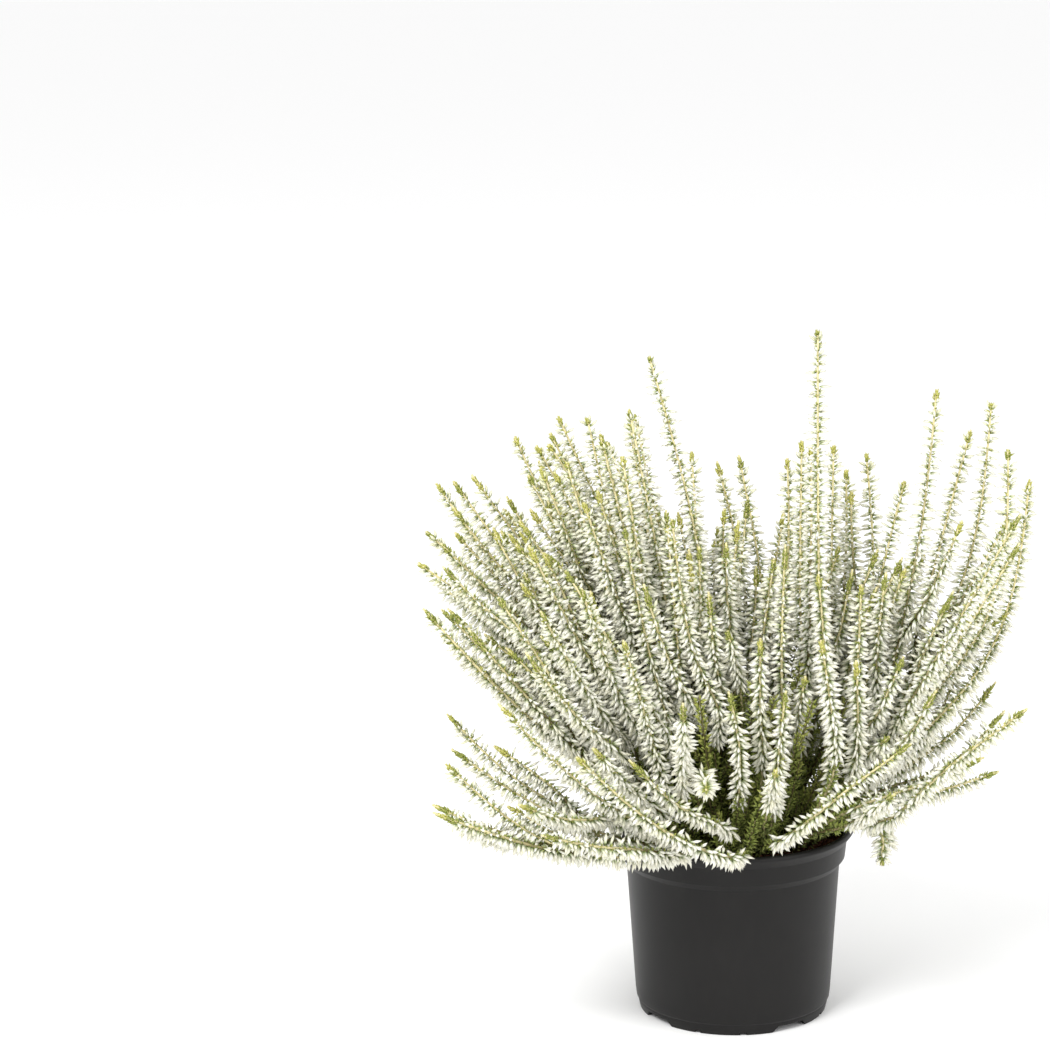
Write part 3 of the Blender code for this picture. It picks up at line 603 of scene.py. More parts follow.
def side_reach_along(length):
    """The same for a side spike, which counts for nothing where it leaves its parent."""
    return np.interp(
        np.linspace(0, length, ROUTE_POINTS),
        [0, SIDE_BARE, SIDE_BARE + 8 * MM, length - SIDE_TIP, length],
        [0, 0, BLOOM_REACH, 0.75 * BLOOM_REACH, TIP_REACH],
    )


def keep_off_pot(points, reach):
    """How far each point has to move to clear the peat inside the rim, and the rim itself."""
    out = np.linalg.norm(points[..., :2], axis=-1)
    inside = out < RIM_RADIUS - 12 * MM
    floor = np.where(inside, PEAT_TOP, POT_HEIGHT) + 0.4 * MM
    side = np.where(inside, 0, np.maximum(out - RIM_RADIUS, 0))
    above = points[..., 2] - floor
    gap = np.where(above > 0, np.hypot(side, np.maximum(above, 0)), side)
    short = np.clip(reach + CLEARANCE - gap, 0, None)
    lift = np.where(above > 0, np.maximum(above, 1 * MM), 0.2 * MM)
    outward = points[..., :2] / np.maximum(out, 1e-9)[..., None] * side[..., None]
    away = np.concatenate([outward, lift[..., None]], axis=-1)
    away /= np.linalg.norm(away, axis=-1, keepdims=True)
    return away * short[..., None]


def near_pairs(points, reach, owner):
    """Pairs of points on different shoots that could come to touch within the next few rounds."""
    square = (points**2).sum(axis=1)
    gap_squared = square[:, None] + square[None] - 2 * points @ points.T
    near = gap_squared < (reach[:, None] + reach[None] + CLEARANCE + LOOK_MARGIN) ** 2
    near &= owner[:, None] != owner[None]
    return np.nonzero(near)


def bend_clear(routes, reach, held=0):
    """Bends the lines after the first held ones out of each other's way, and off the pot."""
    owner = np.repeat(np.arange(len(routes)), ROUTE_POINTS)
    fixed = np.where(held, SIDE_HELD, 0)
    free = np.clip((np.arange(ROUTE_POINTS) - fixed) / 3, 0, 1)[None, :, None] * np.ones((len(routes), 1, 1))
    free[:held] = 0
    reaches = reach.reshape(-1)
    first = routes
    for turn in range(SPREAD_ROUNDS):
        points = routes.reshape(-1, 3)
        if turn % ROUNDS_PER_LOOK == 0:
            one, two = near_pairs(points, reaches, owner)
            both_count = np.minimum(reaches[one], reaches[two]) > 0
            need = np.where(both_count, reaches[one] + reaches[two] + CLEARANCE, 0)
        apart = points[one] - points[two]
        gap = np.linalg.norm(apart, axis=1) + 1e-9
        apart *= (np.maximum(need - gap, 0) / gap)[:, None]
        push = np.stack([np.bincount(one, apart[:, axis], len(points)) for axis in range(3)], axis=1)
        push = push.reshape(routes.shape)
        size = np.linalg.norm(push, axis=2, keepdims=True)
        push *= np.minimum(1, LONGEST_PUSH / np.maximum(size, 1e-9)) * 0.5
        smooth = push.copy()
        smooth[:, 1:-1] = 0.25 * push[:, :-2] + 0.5 * push[:, 1:-1] + 0.25 * push[:, 2:]
        moved = routes - first
        ease = np.zeros_like(routes)
        ease[:, 1:-1] = (moved[:, :-2] + moved[:, 2:]) / 2 - moved[:, 1:-1]
        routes = routes + free * (smooth + 0.2 * ease)
        routes = routes + free * keep_off_pot(routes, reach)
    return routes


groups = [
    ("tall", TALL_SHOOTS),
    ("right", RIGHT_SHOOTS),
    ("left", LEFT_SHOOTS),
    ("front", FRONT_SHOOTS),
    ("back", back_shoots(np.random.default_rng(SEED))),
    ("green", GREEN_SHOOTS),
]
names = [f"{group}_shoot_{number:02d}" for group, rows in groups for number, _ in enumerate(rows, 1)]
rows = [row for _, group_rows in groups for row in group_rows]
places = np.array([row[:3] for row in rows], float) * MM
firsts = [first_route(root, three) for root, three in zip(spread_roots(places[:, 0]), places)]
leaf_ends = [
    math.inf if name.startswith("green") else leaf_end for name, (_, leaf_end) in zip(names, firsts)
]
routes = np.stack([route for route, _ in firsts])
reach = np.stack([reach_along(length_of(route), leaf_end) for route, leaf_end in zip(routes, leaf_ends)])
routes = bend_clear(routes, reach)

forked = [index for index, row in enumerate(rows) if len(row) > 3]
forks = np.stack([
    fork_route(routes[index], leaf_ends[index], rows[index][3][0], np.array(rows[index][3][1], float) * MM)
    for index in forked
])
fork_reach = np.stack([side_reach_along(length_of(fork)) for fork in forks])
held_and_forks = np.concatenate([routes, forks])
forks = bend_clear(held_and_forks, np.concatenate([reach, fork_reach]), len(routes))[len(routes):]
fork_of = dict(zip(forked, forks))

# Stems, leaves and buds: the small parts that every shoot is made of. Each is drawn out of one small face,
# ring by ring, to a closed pointed form. Its growth colours hold its share of its length, its tint and how
# young and fresh it is.
FORM_END = 0.02 * MM
BUD_RINGS = [(0.0, 0.0), (1.2, 0.68), (3.2, 0.80), (5.0, 0.0)]
LEAF_RINGS = [(0.0, 0.0), (0.9, 0.52), (2.4, 0.0)]
BUD_SIDES, LEAF_SIDES, STEM_SIDES = 3, 3, 5
BUD_TINTS, LEAF_TINTS = 5, 3
BUD_CURL = 0.7
LEAF_FLATNESS = 0.7
STEM_PITCH = 9 * MM
SPIKE_STEM_FOOT, SPIKE_STEM_TIP = 0.85 * MM, 0.55 * MM
FULL_BLOOM = 80 * MM
FORM_SEED = 3
STEM, LEAF, BUD = range(3)
FRESHNESS = (0.0, 0.3, 0.6, 1.0)

# How unlike each other the small parts of one whorl are.
TURN_JITTER = 0.42
LEAN_JITTER = math.radians(15)
LENGTH_JITTER = (0.70, 1.22)
THICK_JITTER = (0.86, 1.14)

# A flowering spike's leaves, its buds and its tip. Sizes and widths are shares of a full leaf's, leans under
# the buds are in degrees, and the tip's lengths are in millimetres.
LEAVES_IN_WHORL, LEAVES_UNDER_BUDS = 4, 3
LEAF_LEAN = math.radians(52)
LEAF_STAND_OFF = 0.35 * MM
LOW_LEAF_PITCH, LOW_LEAF_SIZE, LOW_LEAF_WIDTH = 2.0 * MM, 1.6, 1.7
UNDER_LEAF_LEANS, UNDER_LEAF_SIZE, UNDER_LEAF_WIDTH = (35, 75), 1.0, 1.4
WHORL_TURN = 0.7
BUD_SAG = 0.6
TIP_PITCH = 0.95 * MM
TIP_LENGTHS, TIP_SHARE = (7, 16), 0.18
OPEN_TIP_LOSS = 0.65


def drawn_out(centres, radii, sides, kind, shares, tint, freshness):
    """A closed form drawn out along the line of its centres, one ring of this many sides at each."""
    bm = bmesh.new()
    growth = bm.verts.layers.float_color.new("growth")
    bmesh.ops.create_circle(bm, cap_ends=True, radius=1, segments=sides)
    face = bm.faces[:][0]
    turn = Quaternion()
    last = Matrix()
    for index, (centre, radius, share) in enumerate(zip(centres, radii, shares)):
        behind, ahead = centres[max(index - 1, 0)], centres[min(index + 1, len(centres) - 1)]
        tangent = (ahead - behind).normalized()
        turn = (turn @ Vector((0, 0, 1))).rotation_difference(tangent) @ turn
        if index:
            parts = bmesh.ops.extrude_face_region(bm, geom=[face])["geom"]
            if index > 1:
                bm.faces.remove(face)
            face = next(part for part in parts if isinstance(part, bmesh.types.BMFace))
        now = Matrix.LocRotScale(centre, turn, Vector.Fill(3, max(radius, FORM_END)))
        bmesh.ops.transform(bm, matrix=now @ last.inverted(), verts=face.verts)
        for vert in face.verts:
            vert[growth] = (share, tint, freshness, 1)
        last = now
    points = [centre for centre, radius in ((centres[0], radii[0]), (centres[-1], radii[-1])) if radius == 0]
    ends = [
        (vert, centre) for centre in points for vert in bm.verts if (vert.co - centre).length < 2 * FORM_END
    ]
    for centre in {tuple(centre) for _, centre in ends}:
        bmesh.ops.pointmerge(bm, verts=[vert for vert, at in ends if tuple(at) == centre], merge_co=centre)
    bmesh.ops.recalc_face_normals(bm, faces=bm.faces)
    for face in bm.faces:
        face.smooth = True
        face.material_index = kind
    return bm


def form(name, rings, sides, kind, tint, freshness, flat=1.0, curl=0.0):
    """A bud or leaf of full size, to be set in many places. Curl bends its point upwards."""
    centres = [Vector((0, curl * MM * (height / rings[-1][0]) ** 2, height * MM)) for height, _ in rings]
    shares = [height / rings[-1][0] for height, _ in rings]
    bm = drawn_out(centres, [radius * MM for _, radius in rings], sides, kind, shares, tint, freshness)
    bmesh.ops.scale(bm, vec=(1, flat, 1), verts=bm.verts)
    mesh = bpy.data.meshes.new(name)
    bm.to_mesh(mesh)
    bm.free()
    return mesh


form_draw = np.random.default_rng(FORM_SEED)
buds = [
    [form("bud", BUD_RINGS, BUD_SIDES, BUD, form_draw.uniform(), fresh, 1.0, BUD_CURL)
     for _ in range(BUD_TINTS)]
    for fresh in FRESHNESS
]
leaves = [
    [form("leaf", LEAF_RINGS, LEAF_SIDES, LEAF, form_draw.uniform(), fresh, LEAF_FLATNESS)
     for _ in range(LEAF_TINTS)]
    for fresh in FRESHNESS
]


def nearest_fresh(shapes, fresh):
    return shapes[min(range(len(FRESHNESS)), key=lambda rank: abs(FRESHNESS[rank] - fresh))]


def set_in(bm, shape, place):
    """Adds a copy of a small form to bm, at its place."""
    copy = shape.copy()
    copy.transform(place)
    bm.from_mesh(copy)
    bpy.data.meshes.remove(copy)


def add_stem(bm, line, start, foot_radius, tip_radius, tint, freshness):
    """A tapering stem along a line, from start to its tip, which changes from old wood to young."""
    count = max(4, round((line.length - start) / STEM_PITCH))
    shares = np.linspace(0, 1, count)
    centres = [line.at(start + share * (line.length - start)) for share in shares]
    radii = [foot_radius + share * (tip_radius - foot_radius) for share in shares]
    shares = [float(share) for share in shares]
    stem = drawn_out(centres, radii, STEM_SIDES, STEM, shares, tint, freshness)
    mesh = bpy.data.meshes.new("stem")
    stem.to_mesh(mesh)
    stem.free()
    bm.from_mesh(mesh)
    bpy.data.meshes.remove(mesh)


def whorl(bm, shapes, centre, tangent, stand_off, lean, count, start, size, width, draw,
          droop=0.0, scatter=0.0, sag=0.0):
    """Sets a ring of buds or leaves round a stem, each leaning away from it, with its curl towards the tip.

    Droop hangs each one down, and sag draws them together on the underside of a stem that lies over.
    """
    across = tangent.orthogonal().normalized()
    under = (tangent * tangent.z - Vector((0, 0, 1))) * sag
    for place in range(count):
        foot = centre + tangent * draw.uniform(-scatter, scatter)
        turn = start + (place + draw.uniform(-TURN_JITTER, TURN_JITTER)) * 2 * math.pi / count
        outward = (Quaternion(tangent, turn) @ across + under).normalized()
        tilt = lean + draw.normal() * LEAN_JITTER
        way = (outward * math.sin(tilt) + tangent * math.cos(tilt) - Vector((0, 0, droop))).normalized()
        length = size * draw.uniform(*LENGTH_JITTER)
        thick = width * draw.uniform(*THICK_JITTER)
        shape = shapes[draw.integers(len(shapes))]
        curl = (tangent - way * tangent.dot(way)).normalized()
        place_at = Matrix.Translation(foot + outward * stand_off)
        stance = Matrix((curl.cross(way), curl, way)).transposed().to_4x4()
        set_in(bm, shape, place_at @ stance @ Matrix.Diagonal((thick, thick, length, 1)))


def add_leaves(bm, line, start, end, pitch, lean, size, fresh_from, fresh_to, draw, width=1.0):
    """Scale leaves in whorls of four along a stretch of stem."""
    steps = max(1, round((end - start) / pitch))
    for step in range(steps):
        share = step / steps
        distance = start + (end - start) * share
        shapes = nearest_fresh(leaves, fresh_from + (fresh_to - fresh_from) * share)
        whorl(
            bm, shapes, line.at(distance), line.heading(distance), LEAF_STAND_OFF, lean, LEAVES_IN_WHORL,
            step * math.pi / LEAVES_IN_WHORL, size, width, draw,
        )


def add_buds(bm, line, start, end, open_tip, draw):
    """Buds in whorls: long and hanging at the spike's foot, level along it, apart at a tall one's top."""
    distance = start
    step = 0
    while distance < end:
        share = (distance - start) / (end - start) * min(1, (end - start) / FULL_BLOOM)
        pitch = np.interp(share, [0, 0.45, 1], [2.2, 2.45, 2.8 + 1.4 * open_tip]) * MM
        lean = math.radians(np.interp(share, [0, 0.06, 0.25, 0.6, 0.9, 1], [128, 106, 92, 86, 80, 50]))
        size = np.interp(share, [0, 0.1, 0.5, 0.85, 1], [1.24, 1.20, 1.16, 1.10, 0.90])
        count = int(np.interp(share, [0, 0.4, 1], [6.4, 5.9, 5.2]) + draw.uniform(0, 0.9))
        stand_off = np.interp(share, [0, 0.35, 1], [0.8, 0.7, 0.5]) * MM
        fresh = np.interp(share, [0, 0.6, 0.85, 1], [0, 0.05, 0.20, 0.45]) + draw.normal() * 0.12
        centre, tangent = line.at(distance), line.heading(distance)
        droop = np.interp(share, [0, 0.5, 1], [0.60, 0.50, 0.16])
        whorl(
            bm, nearest_fresh(buds, fresh), centre, tangent, stand_off, lean, count, step * WHORL_TURN, size,
            size**0.3, draw, droop, 0.34 * pitch, BUD_SAG,
        )
        shapes = nearest_fresh(leaves, draw.uniform(0.1, 0.6) + 0.4 * share)
        leaf_lean = math.radians(draw.uniform(*UNDER_LEAF_LEANS))
        whorl(
            bm, shapes, centre - tangent * 0.9 * MM, tangent, 0.4 * MM, leaf_lean, LEAVES_UNDER_BUDS,
            step * WHORL_TURN + 0.5, UNDER_LEAF_SIZE, UNDER_LEAF_WIDTH, draw, 0.0, 0.4 * pitch,
        )
        distance += pitch * draw.uniform(0.85, 1.15)
        step += 1


def add_tip(bm, line, start, fresh, draw):
    """The growing tip of a spike: leaves laid close together like an ear of grain, slimmer at its end."""
    end = line.length - 0.4 * MM
    steps = max(3, round((end - start) / TIP_PITCH))
    for step in range(steps):
        share = step / steps
        fat = np.interp(share, [0, 0.3, 0.7, 1], [0.90, 1.05, 0.80, 0.28])
        shapes = nearest_fresh(leaves, fresh + 0.3 * share)
        lean = math.radians(30 - 20 * share)
        whorl(
            bm, shapes, line.at(start + (end - start) * share), line.heading(line.length), 0.45 * fat * MM,
            lean, LEAVES_IN_WHORL, step * math.pi / LEAVES_IN_WHORL, 1.15 * fat, 1.6 * fat, draw,
        )


def grow_spike(bm, line, leaf_start, leaf_end, open_tip, draw, tip_share=TIP_SHARE):
    """A flowering spike: its stem, the dark leaves low down, its buds, and its tip, short on a tall spike."""
    bloom = line.length - leaf_end
    tip_length = min(draw.uniform(*TIP_LENGTHS) * MM, tip_share * bloom) * (1 - OPEN_TIP_LOSS * open_tip)
    add_stem(bm, line, 0, SPIKE_STEM_FOOT, SPIKE_STEM_TIP, draw.uniform(), draw.uniform(0.4, 1.0))
    add_leaves(
        bm, line, leaf_start, leaf_end, LOW_LEAF_PITCH, LEAF_LEAN, LOW_LEAF_SIZE, 0.0, 0.3, draw,
        LOW_LEAF_WIDTH,
    )
    add_buds(bm, line, leaf_end, line.length - tip_length + 1 * MM, open_tip, draw)
    add_tip(bm, line, line.length - tip_length, draw.uniform(0.35, 0.8) + 0.2 * open_tip, draw)


# The flowering shoots: wiry stems clothed in closed white buds, which are green at the foot, with dull green
# scale leaves low down and a yellow-green growing tip. Sixteen of them fork into two spikes. The three short
# shoots at the heart have leaves only.
BUD_WHITE = (0.88, 0.88, 0.80, 1)
BUD_CREAM = (0.82, 0.78, 0.59, 1)
BUD_FOOT = (0.26, 0.35, 0.11, 1)
BUD_YOUNG = (0.62, 0.63, 0.34, 1)
LEAF_DARK = (0.028, 0.058, 0.010, 1)
LEAF_GREEN = (0.160, 0.215, 0.036, 1)
LEAF_YOUNG = (0.510, 0.500, 0.130, 1)
STEM_OLD = (0.110, 0.090, 0.030, 1)
STEM_STRAW = (0.720, 0.640, 0.360, 1)
OPEN_FROM, OPEN_TO = 215 * MM, 300 * MM
CLOSED_SHOOT, CLOSED_TIP_SHARE = "front_shoot_09", 0.05
SHOOT_LEAVES_FROM, FORK_LEAVES_TO = 3 * MM, 8 * MM
GREEN_STEM_FOOT, GREEN_STEM_TIP = 0.8 * MM, 0.3 * MM
GREEN_LEAF_PITCH, GREEN_LEAF_SIZE = 1.4 * MM, 1.4
GREEN_LEAF_LEAN = math.radians(45)


def growth_of(finish):
    """The share of its length, the tint and the freshness that a small part was made with."""
    colour = finish.add("ShaderNodeAttribute", {"attribute_name": "growth"}, out="Color")
    return [finish.add("ShaderNodeSeparateColor", {}, {"Color": colour}, out) for out in range(3)]


bud_finish = Finish("bud", 0.55, 0.3)
share, tint, freshness = growth_of(bud_finish)
bud_mottle = bud_finish.grain(1.6 * MM, 2)
petal = bud_finish.mix(tint * 0.55 + bud_mottle * 0.25, BUD_WHITE, BUD_CREAM)
petal = bud_finish.mix(freshness * 0.85, petal, BUD_YOUNG)
foot_share = bud_finish.ramp(share, (0.10, (1, 1, 1, 1)), (0.46, (0, 0, 0, 1)))
bud_finish.set("Base Color", bud_finish.mix(foot_share, petal, BUD_FOOT))
bud_finish.relief(bud_finish.grain(0.5 * MM, 2, (1, 1, 0.3)), 0.06 * MM, 0.5)

leaf_finish = Finish("scale_leaf", 0.5, 0.35)
share, tint, freshness = growth_of(leaf_finish)
leaf_stops = (0.0, LEAF_DARK), (0.42, LEAF_GREEN), (1.0, LEAF_YOUNG)
green = leaf_finish.ramp(freshness + (tint - 0.5) * 0.25, *leaf_stops)
green = leaf_finish.mix(share * 0.35, green, LEAF_YOUNG)
leaf_finish.set("Base Color", green)
leaf_finish.relief(leaf_finish.grain(0.6 * MM, 2), 0.05 * MM, 0.5)

stem_finish = Finish("stem_bark", 0.7, 0.25)
share, tint, freshness = growth_of(stem_finish)
bark = stem_finish.grain(1.2 * MM, 3, (1, 1, 0.2))
straw_share = (share - 0.25) * freshness * 3.0 + bark * 0.2
stem_finish.set("Base Color", stem_finish.mix(straw_share, STEM_OLD, STEM_STRAW))
stem_finish.relief(bark, 0.08 * MM, 0.7)

plant_finishes = (stem_finish, leaf_finish, bud_finish)


def new_spray():
    """An empty bmesh that takes in small parts with their growth colours."""
    bm = bmesh.new()
    bm.verts.layers.float_color.new("growth")
    return bm


def openness(line):
    """How far the whorls near a spike's tip stand apart: not at all on a low spike, fully on the tallest."""
    return float(np.interp(line.at(line.length).z, [OPEN_FROM, OPEN_TO], [0, 1]))


for index, (name, points, leaf_end) in enumerate(zip(names, routes, leaf_ends)):
    draw = np.random.default_rng([SEED, index])
    spray = new_spray()
    line = Line(points)
    if leaf_end == math.inf:
        add_stem(spray, line, 0, GREEN_STEM_FOOT, GREEN_STEM_TIP, draw.uniform(), 0.0)
        add_leaves(
            spray, line, SHOOT_LEAVES_FROM, line.length, GREEN_LEAF_PITCH, GREEN_LEAF_LEAN, GREEN_LEAF_SIZE,
            0.1, 0.5, draw, GREEN_LEAF_SIZE,
        )
    else:
        tip_share = CLOSED_TIP_SHARE if name == CLOSED_SHOOT else TIP_SHARE
        grow_spike(spray, line, SHOOT_LEAVES_FROM, leaf_end, openness(line), draw, tip_share)
    if index in fork_of:
        fork = Line(fork_of[index])
        grow_spike(spray, fork, SHOOT_LEAVES_FROM, FORK_LEAVES_TO, openness(fork), draw)
    piece = object_from(spray, name.replace("shoot", "heather"), *plant_finishes)
    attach(piece, "root")
    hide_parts(name)
    "green_shoots" if leaf_end == math.inf else "bloom"

# Side spikes: shorter flowering spikes that leave the shoots low down and fill the spaces between them, and
# outer ones that leave part way up, so that a long shoot ends in two or three spikes. They are leafy and bare
# of flowers near the heart of the plant, as the shoots are.
SIDE_SEED = 29
SIDE_TRIES = 5
SIDE_TURNS = (8, 26)
SIDE_MARGIN = 6 * MM
SIDE_LOW = np.array(cad_box[0]) + SIDE_MARGIN
SIDE_HIGH = np.array(cad_box[1]) - SIDE_MARGIN
SIDE_TIP_FROM = 118 * MM
ROOM_ENOUGH = 14 * MM
HEART_REACH = (66 * MM, 94 * MM)
SHORTEST_BLOOM = 24 * MM
SHORTEST_LEAFY = 6 * MM
UNFORKED = ("right_shoot_05", "right_shoot_07", "right_shoot_12", "right_shoot_13")

# The rounds in which they grow: the name of their piece, which shoots they leave and how long those are at
# least, how far up a shoot they leave it, both in millimetres, and their length as a share of the rest of it.
LONG_SHOOT, MIDDLING_SHOOT = 190, 150
LOW_DOWN, PART_WAY = (12, 40), (60, 115)
SIDE_ROUNDS = [
    ("side", ("right", "left", "back"), 0, LOW_DOWN, (0.46, 0.92)),
    ("side", ("tall",), 0, LOW_DOWN, (0.34, 0.74)),
    ("side", ("right", "left", "back"), LONG_SHOOT, LOW_DOWN, (0.46, 0.92)),
    ("side", ("tall",), LONG_SHOOT, LOW_DOWN, (0.34, 0.74)),
    ("side", ("left",), LONG_SHOOT, LOW_DOWN, (0.46, 0.92)),
    ("side", ("left",), LONG_SHOOT, LOW_DOWN, (0.60, 0.96)),
    ("outer", ("right", "left", "back"), MIDDLING_SHOOT, PART_WAY, (0.62, 0.98)),
    ("outer", ("tall",), MIDDLING_SHOOT, PART_WAY, (0.30, 0.70)),
    ("outer", ("right",), MIDDLING_SHOOT, PART_WAY, (0.80, 1.0)),
    ("outer", ("left",), MIDDLING_SHOOT, PART_WAY, (0.84, 1.0)),
    ("outer", ("left",), MIDDLING_SHOOT, PART_WAY, (0.60, 1.0)),
    ("outer", ("left",), MIDDLING_SHOOT, PART_WAY, (0.84, 1.0)),
]

# Three short lines hang over the rim at the right, from one low shoot: the share of its length at which they
# leave it, and their tips in millimetres. Only one of them has the room for flowers that a spike needs.
HANGING_FROM = "right_shoot_13"
HANGING = [(0.52, (63, -50, 91)), (0.60, (71, -56, 90)), (0.66, (81, -42, 97))]


def side_route(parent, leaves, share, taken, draw):
    """A side spike's line: the one of many tries that stays farthest from all that is there already."""
    best, best_room = None, -1
    for _ in range(SIDE_TRIES):
        leaves_at = draw.uniform(*leaves) * MM
        start, along = parent.at(leaves_at), parent.heading(leaves_at + 6 * MM)
        axis = Quaternion(along, draw.uniform(0, 2 * math.pi)) @ along.orthogonal()
        way = Quaternion(axis, math.radians(draw.uniform(*SIDE_TURNS))) @ along
        chord = (parent.length - leaves_at) * draw.uniform(*share)
        rise = (way + along * 0.4 + Vector((0, 0, 0.35))).normalized()
        tip = start + (way + rise).normalized() * chord
        line = curve_between(np.array(start), np.array(way), np.array(tip), np.array(rise))
        if (line < SIDE_LOW).any() or (line > SIDE_HIGH).any() or line[-1, 2] < SIDE_TIP_FROM:
            continue
        gaps = np.sqrt(((line[6::3, None] - taken[None]) ** 2).sum(axis=2)).min(axis=1)
        room = np.minimum(gaps, ROOM_ENOUGH).mean()
        if room > best_room:
            best, best_room = line, room
    return best


def out_of_heart(line, heart_reach):
    """How far along a side spike its flowers can start: where it has come this far from the peat's middle."""
    clear = np.linalg.norm(line.points - np.array((0, 0, PEAT_TOP)), axis=1) > heart_reach
    return float(line.along[np.argmax(clear)]) if clear.any() else line.length


side_draw = np.random.default_rng(SIDE_SEED)
lengths = [length_of(route) for route in routes]
held = np.concatenate([routes, forks])
side_lines, side_groups = [], []
for kind, wanted, shortest, leaves_at, share_of_rest in SIDE_ROUNDS:
    for name, route, length in zip(names, routes, lengths):
        if not name.startswith(wanted) or name in UNFORKED or length < shortest * MM:
            continue
        taken = np.concatenate([held.reshape(-1, 3)] + side_lines)
        line = side_route(Line(route), leaves_at, share_of_rest, taken, side_draw)
        if line is not None:
            side_lines.append(line)
            side_groups.append(f"{name.split('_')[0]}_{kind}_spikes")

over_rim = Line(routes[names.index(HANGING_FROM)])
for share, tip in HANGING:
    leaves_at = share * over_rim.length
    start, along = np.array(over_rim.at(leaves_at)), np.array(over_rim.heading(leaves_at))
    side_lines.append(curve_between(start, along, np.array(tip) * MM, np.array((0, 0, -1))))
    side_groups.append("hanging_spikes")

side_reach = [side_reach_along(length_of(line)) for line in side_lines]
all_lines, all_reach = np.concatenate([held, side_lines]), np.concatenate([reach, fork_reach, side_reach])
side_lines = bend_clear(all_lines, all_reach, len(held))[len(held):]

for group_number, group in enumerate(dict.fromkeys(side_groups)):
    spray = new_spray()
    lines = [Line(line) for line, line_group in zip(side_lines, side_groups) if line_group == group]
    for number, line in enumerate(lines):
        draw = np.random.default_rng([SEED, 100 + group_number, number])
        leaf_end = max(out_of_heart(line, draw.uniform(*HEART_REACH)), SHORTEST_LEAFY)
        if line.length - leaf_end > SHORTEST_BLOOM:
            grow_spike(spray, line, SHOOT_LEAVES_FROM, leaf_end, openness(line), draw)
    piece = object_from(spray, group, *plant_finishes)
    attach(piece, "root")

# The heart of the plant: dark green leafy twigs that crowd on the peat and rise between the feet of the
# spikes, and longer ones that show green in the depth between them. The short ones leave a crescent of peat
# bare inside the rim at the front right.
HEART_SEED = 17
TWIG_COUNT = 130
TWIG_REACH = 50 * MM
TWIG_LENGTH = (18, 50)
TWIG_PITCH = 1.7 * MM
TWIG_STEM_FOOT, TWIG_STEM_TIP = 0.5 * MM, 0.25 * MM
TWIG_BARE = 1.5 * MM
TWIG_LEAF_SIZE, TWIG_LEAF_WIDTH = 1.7, 1.8
BARE_MIDDLE, BARE_HALF = math.radians(-48), math.radians(34)
BARE_REACH = 34 * MM
INNER_COUNT = 56
INNER_REACH = 30 * MM
INNER_LENGTH = (60, 120)
INNER_LEANS = (12, 58)
INNER_PITCH = 2.6 * MM


def heading(lean, turn):
    """The way that leans this far from upright, towards this side of the plant."""
    flat = math.sin(lean)
    return Vector((flat * math.cos(turn), flat * math.sin(turn), math.cos(lean)))


def on_peat(out, turn):
    return Vector((out * math.cos(turn), out * math.sin(turn), PEAT_TOP))


def add_twig(bm, foot, way, length, pitch, young, draw):
    """A short leafy twig without flowers, curving up a little from its foot."""
    rise = (way + Vector((0, 0, 0.5))).normalized()
    tip = foot + (way + rise).normalized() * length
    line = Line(curve_between(np.array(foot), np.array(way), np.array(tip), np.array(rise)))
    add_stem(bm, line, 0, TWIG_STEM_FOOT, TWIG_STEM_TIP, draw.uniform(), 0.0)
    add_leaves(
        bm, line, TWIG_BARE, length, pitch, LEAF_LEAN, TWIG_LEAF_SIZE, young - 0.2, young + 0.15, draw,
        TWIG_LEAF_WIDTH,
    )


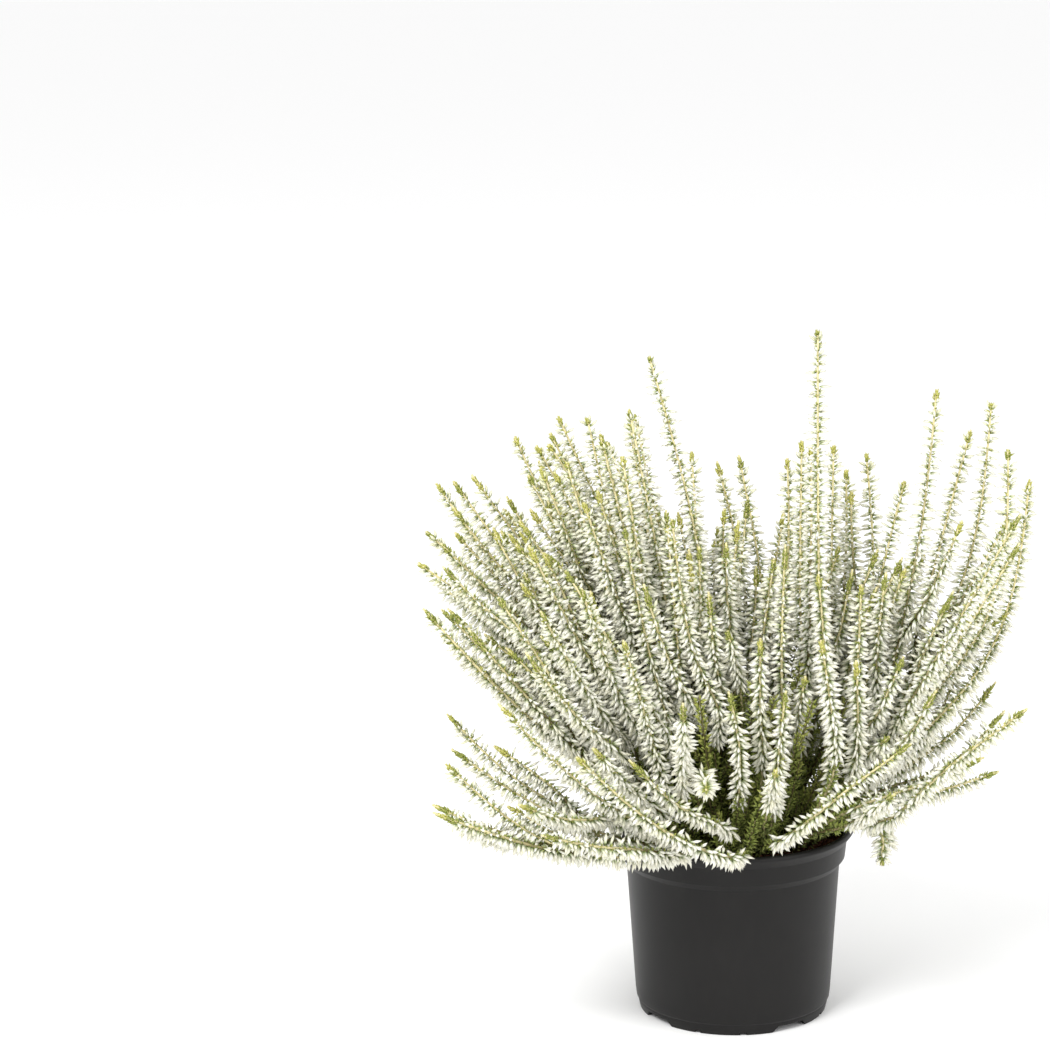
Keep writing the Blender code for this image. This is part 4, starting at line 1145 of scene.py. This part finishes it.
heart_draw = np.random.default_rng(HEART_SEED)
heart = new_spray()
for _ in range(TWIG_COUNT):
    out = TWIG_REACH * math.sqrt(heart_draw.uniform())
    turn = heart_draw.uniform(-math.pi, math.pi)
    if abs(turn - BARE_MIDDLE) < BARE_HALF:
        out *= BARE_REACH / TWIG_REACH
    lean = math.radians(6 + 34 * out / TWIG_REACH) * heart_draw.uniform(0.6, 1.2)
    way = heading(lean, turn + heart_draw.normal() * 0.5)
    length = heart_draw.uniform(*TWIG_LENGTH) * MM
    add_twig(heart, on_peat(out, turn), way, length, TWIG_PITCH, heart_draw.uniform(0.1, 0.5), heart_draw)
heart = object_from(heart, "heart_twigs", *plant_finishes)
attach(heart, "root")

inner = new_spray()
for twig in range(INNER_COUNT):
    out = INNER_REACH * math.sqrt(heart_draw.uniform())
    turn = (twig + heart_draw.uniform()) * 2 * math.pi / INNER_COUNT
    way = heading(math.radians(heart_draw.uniform(*INNER_LEANS)), turn)
    length = heart_draw.uniform(*INNER_LENGTH) * MM
    add_twig(inner, on_peat(out, turn), way, length, INNER_PITCH, heart_draw.uniform(0.3, 0.7), heart_draw)
inner = object_from(inner, "inner_twigs", *plant_finishes)
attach(inner, "root")

# The floor and the light: a pale seamless floor under soft studio light, with a large lamp at the upper left
# and a weaker one at the right.
FLOOR_PALE = (0.96, 0.96, 0.96, 1)
FLOOR_HALF = 30
LAMP_AIM = Vector((0, 0, 0.15))

floor_finish = Finish("pale_floor", 0.9, 0.1)
floor_finish.shader.inputs["Base Color"].default_value = FLOOR_PALE
floor_bm = bmesh.new()
bmesh.ops.create_grid(floor_bm, x_segments=1, y_segments=1, size=FLOOR_HALF)
ground = object_from(floor_bm, "floor", floor_finish)

world = bpy.data.worlds.new("studio")
world.use_nodes = True
world.node_tree.nodes["Background"].inputs["Color"].default_value = (1, 1, 1, 1)
world.node_tree.nodes["Background"].inputs["Strength"].default_value = 1.0
bpy.context.scene.world = world


def add_lamp(name, place, size, power):
    lamp = bpy.data.objects.new(name, bpy.data.lights.new(name, "AREA"))
    lamp.data.size = size
    lamp.data.energy = power
    lamp.location = place
    lamp.rotation_euler = (LAMP_AIM - Vector(place)).to_track_quat("-Z", "Y").to_euler()
    bpy.context.scene.collection.objects.link(lamp)


add_lamp("key_lamp", (-1.1, -1.8, 2.2), 1.0, 58)
add_lamp("fill_lamp", (1.8, -1.5, 1.1), 1.6, 18)
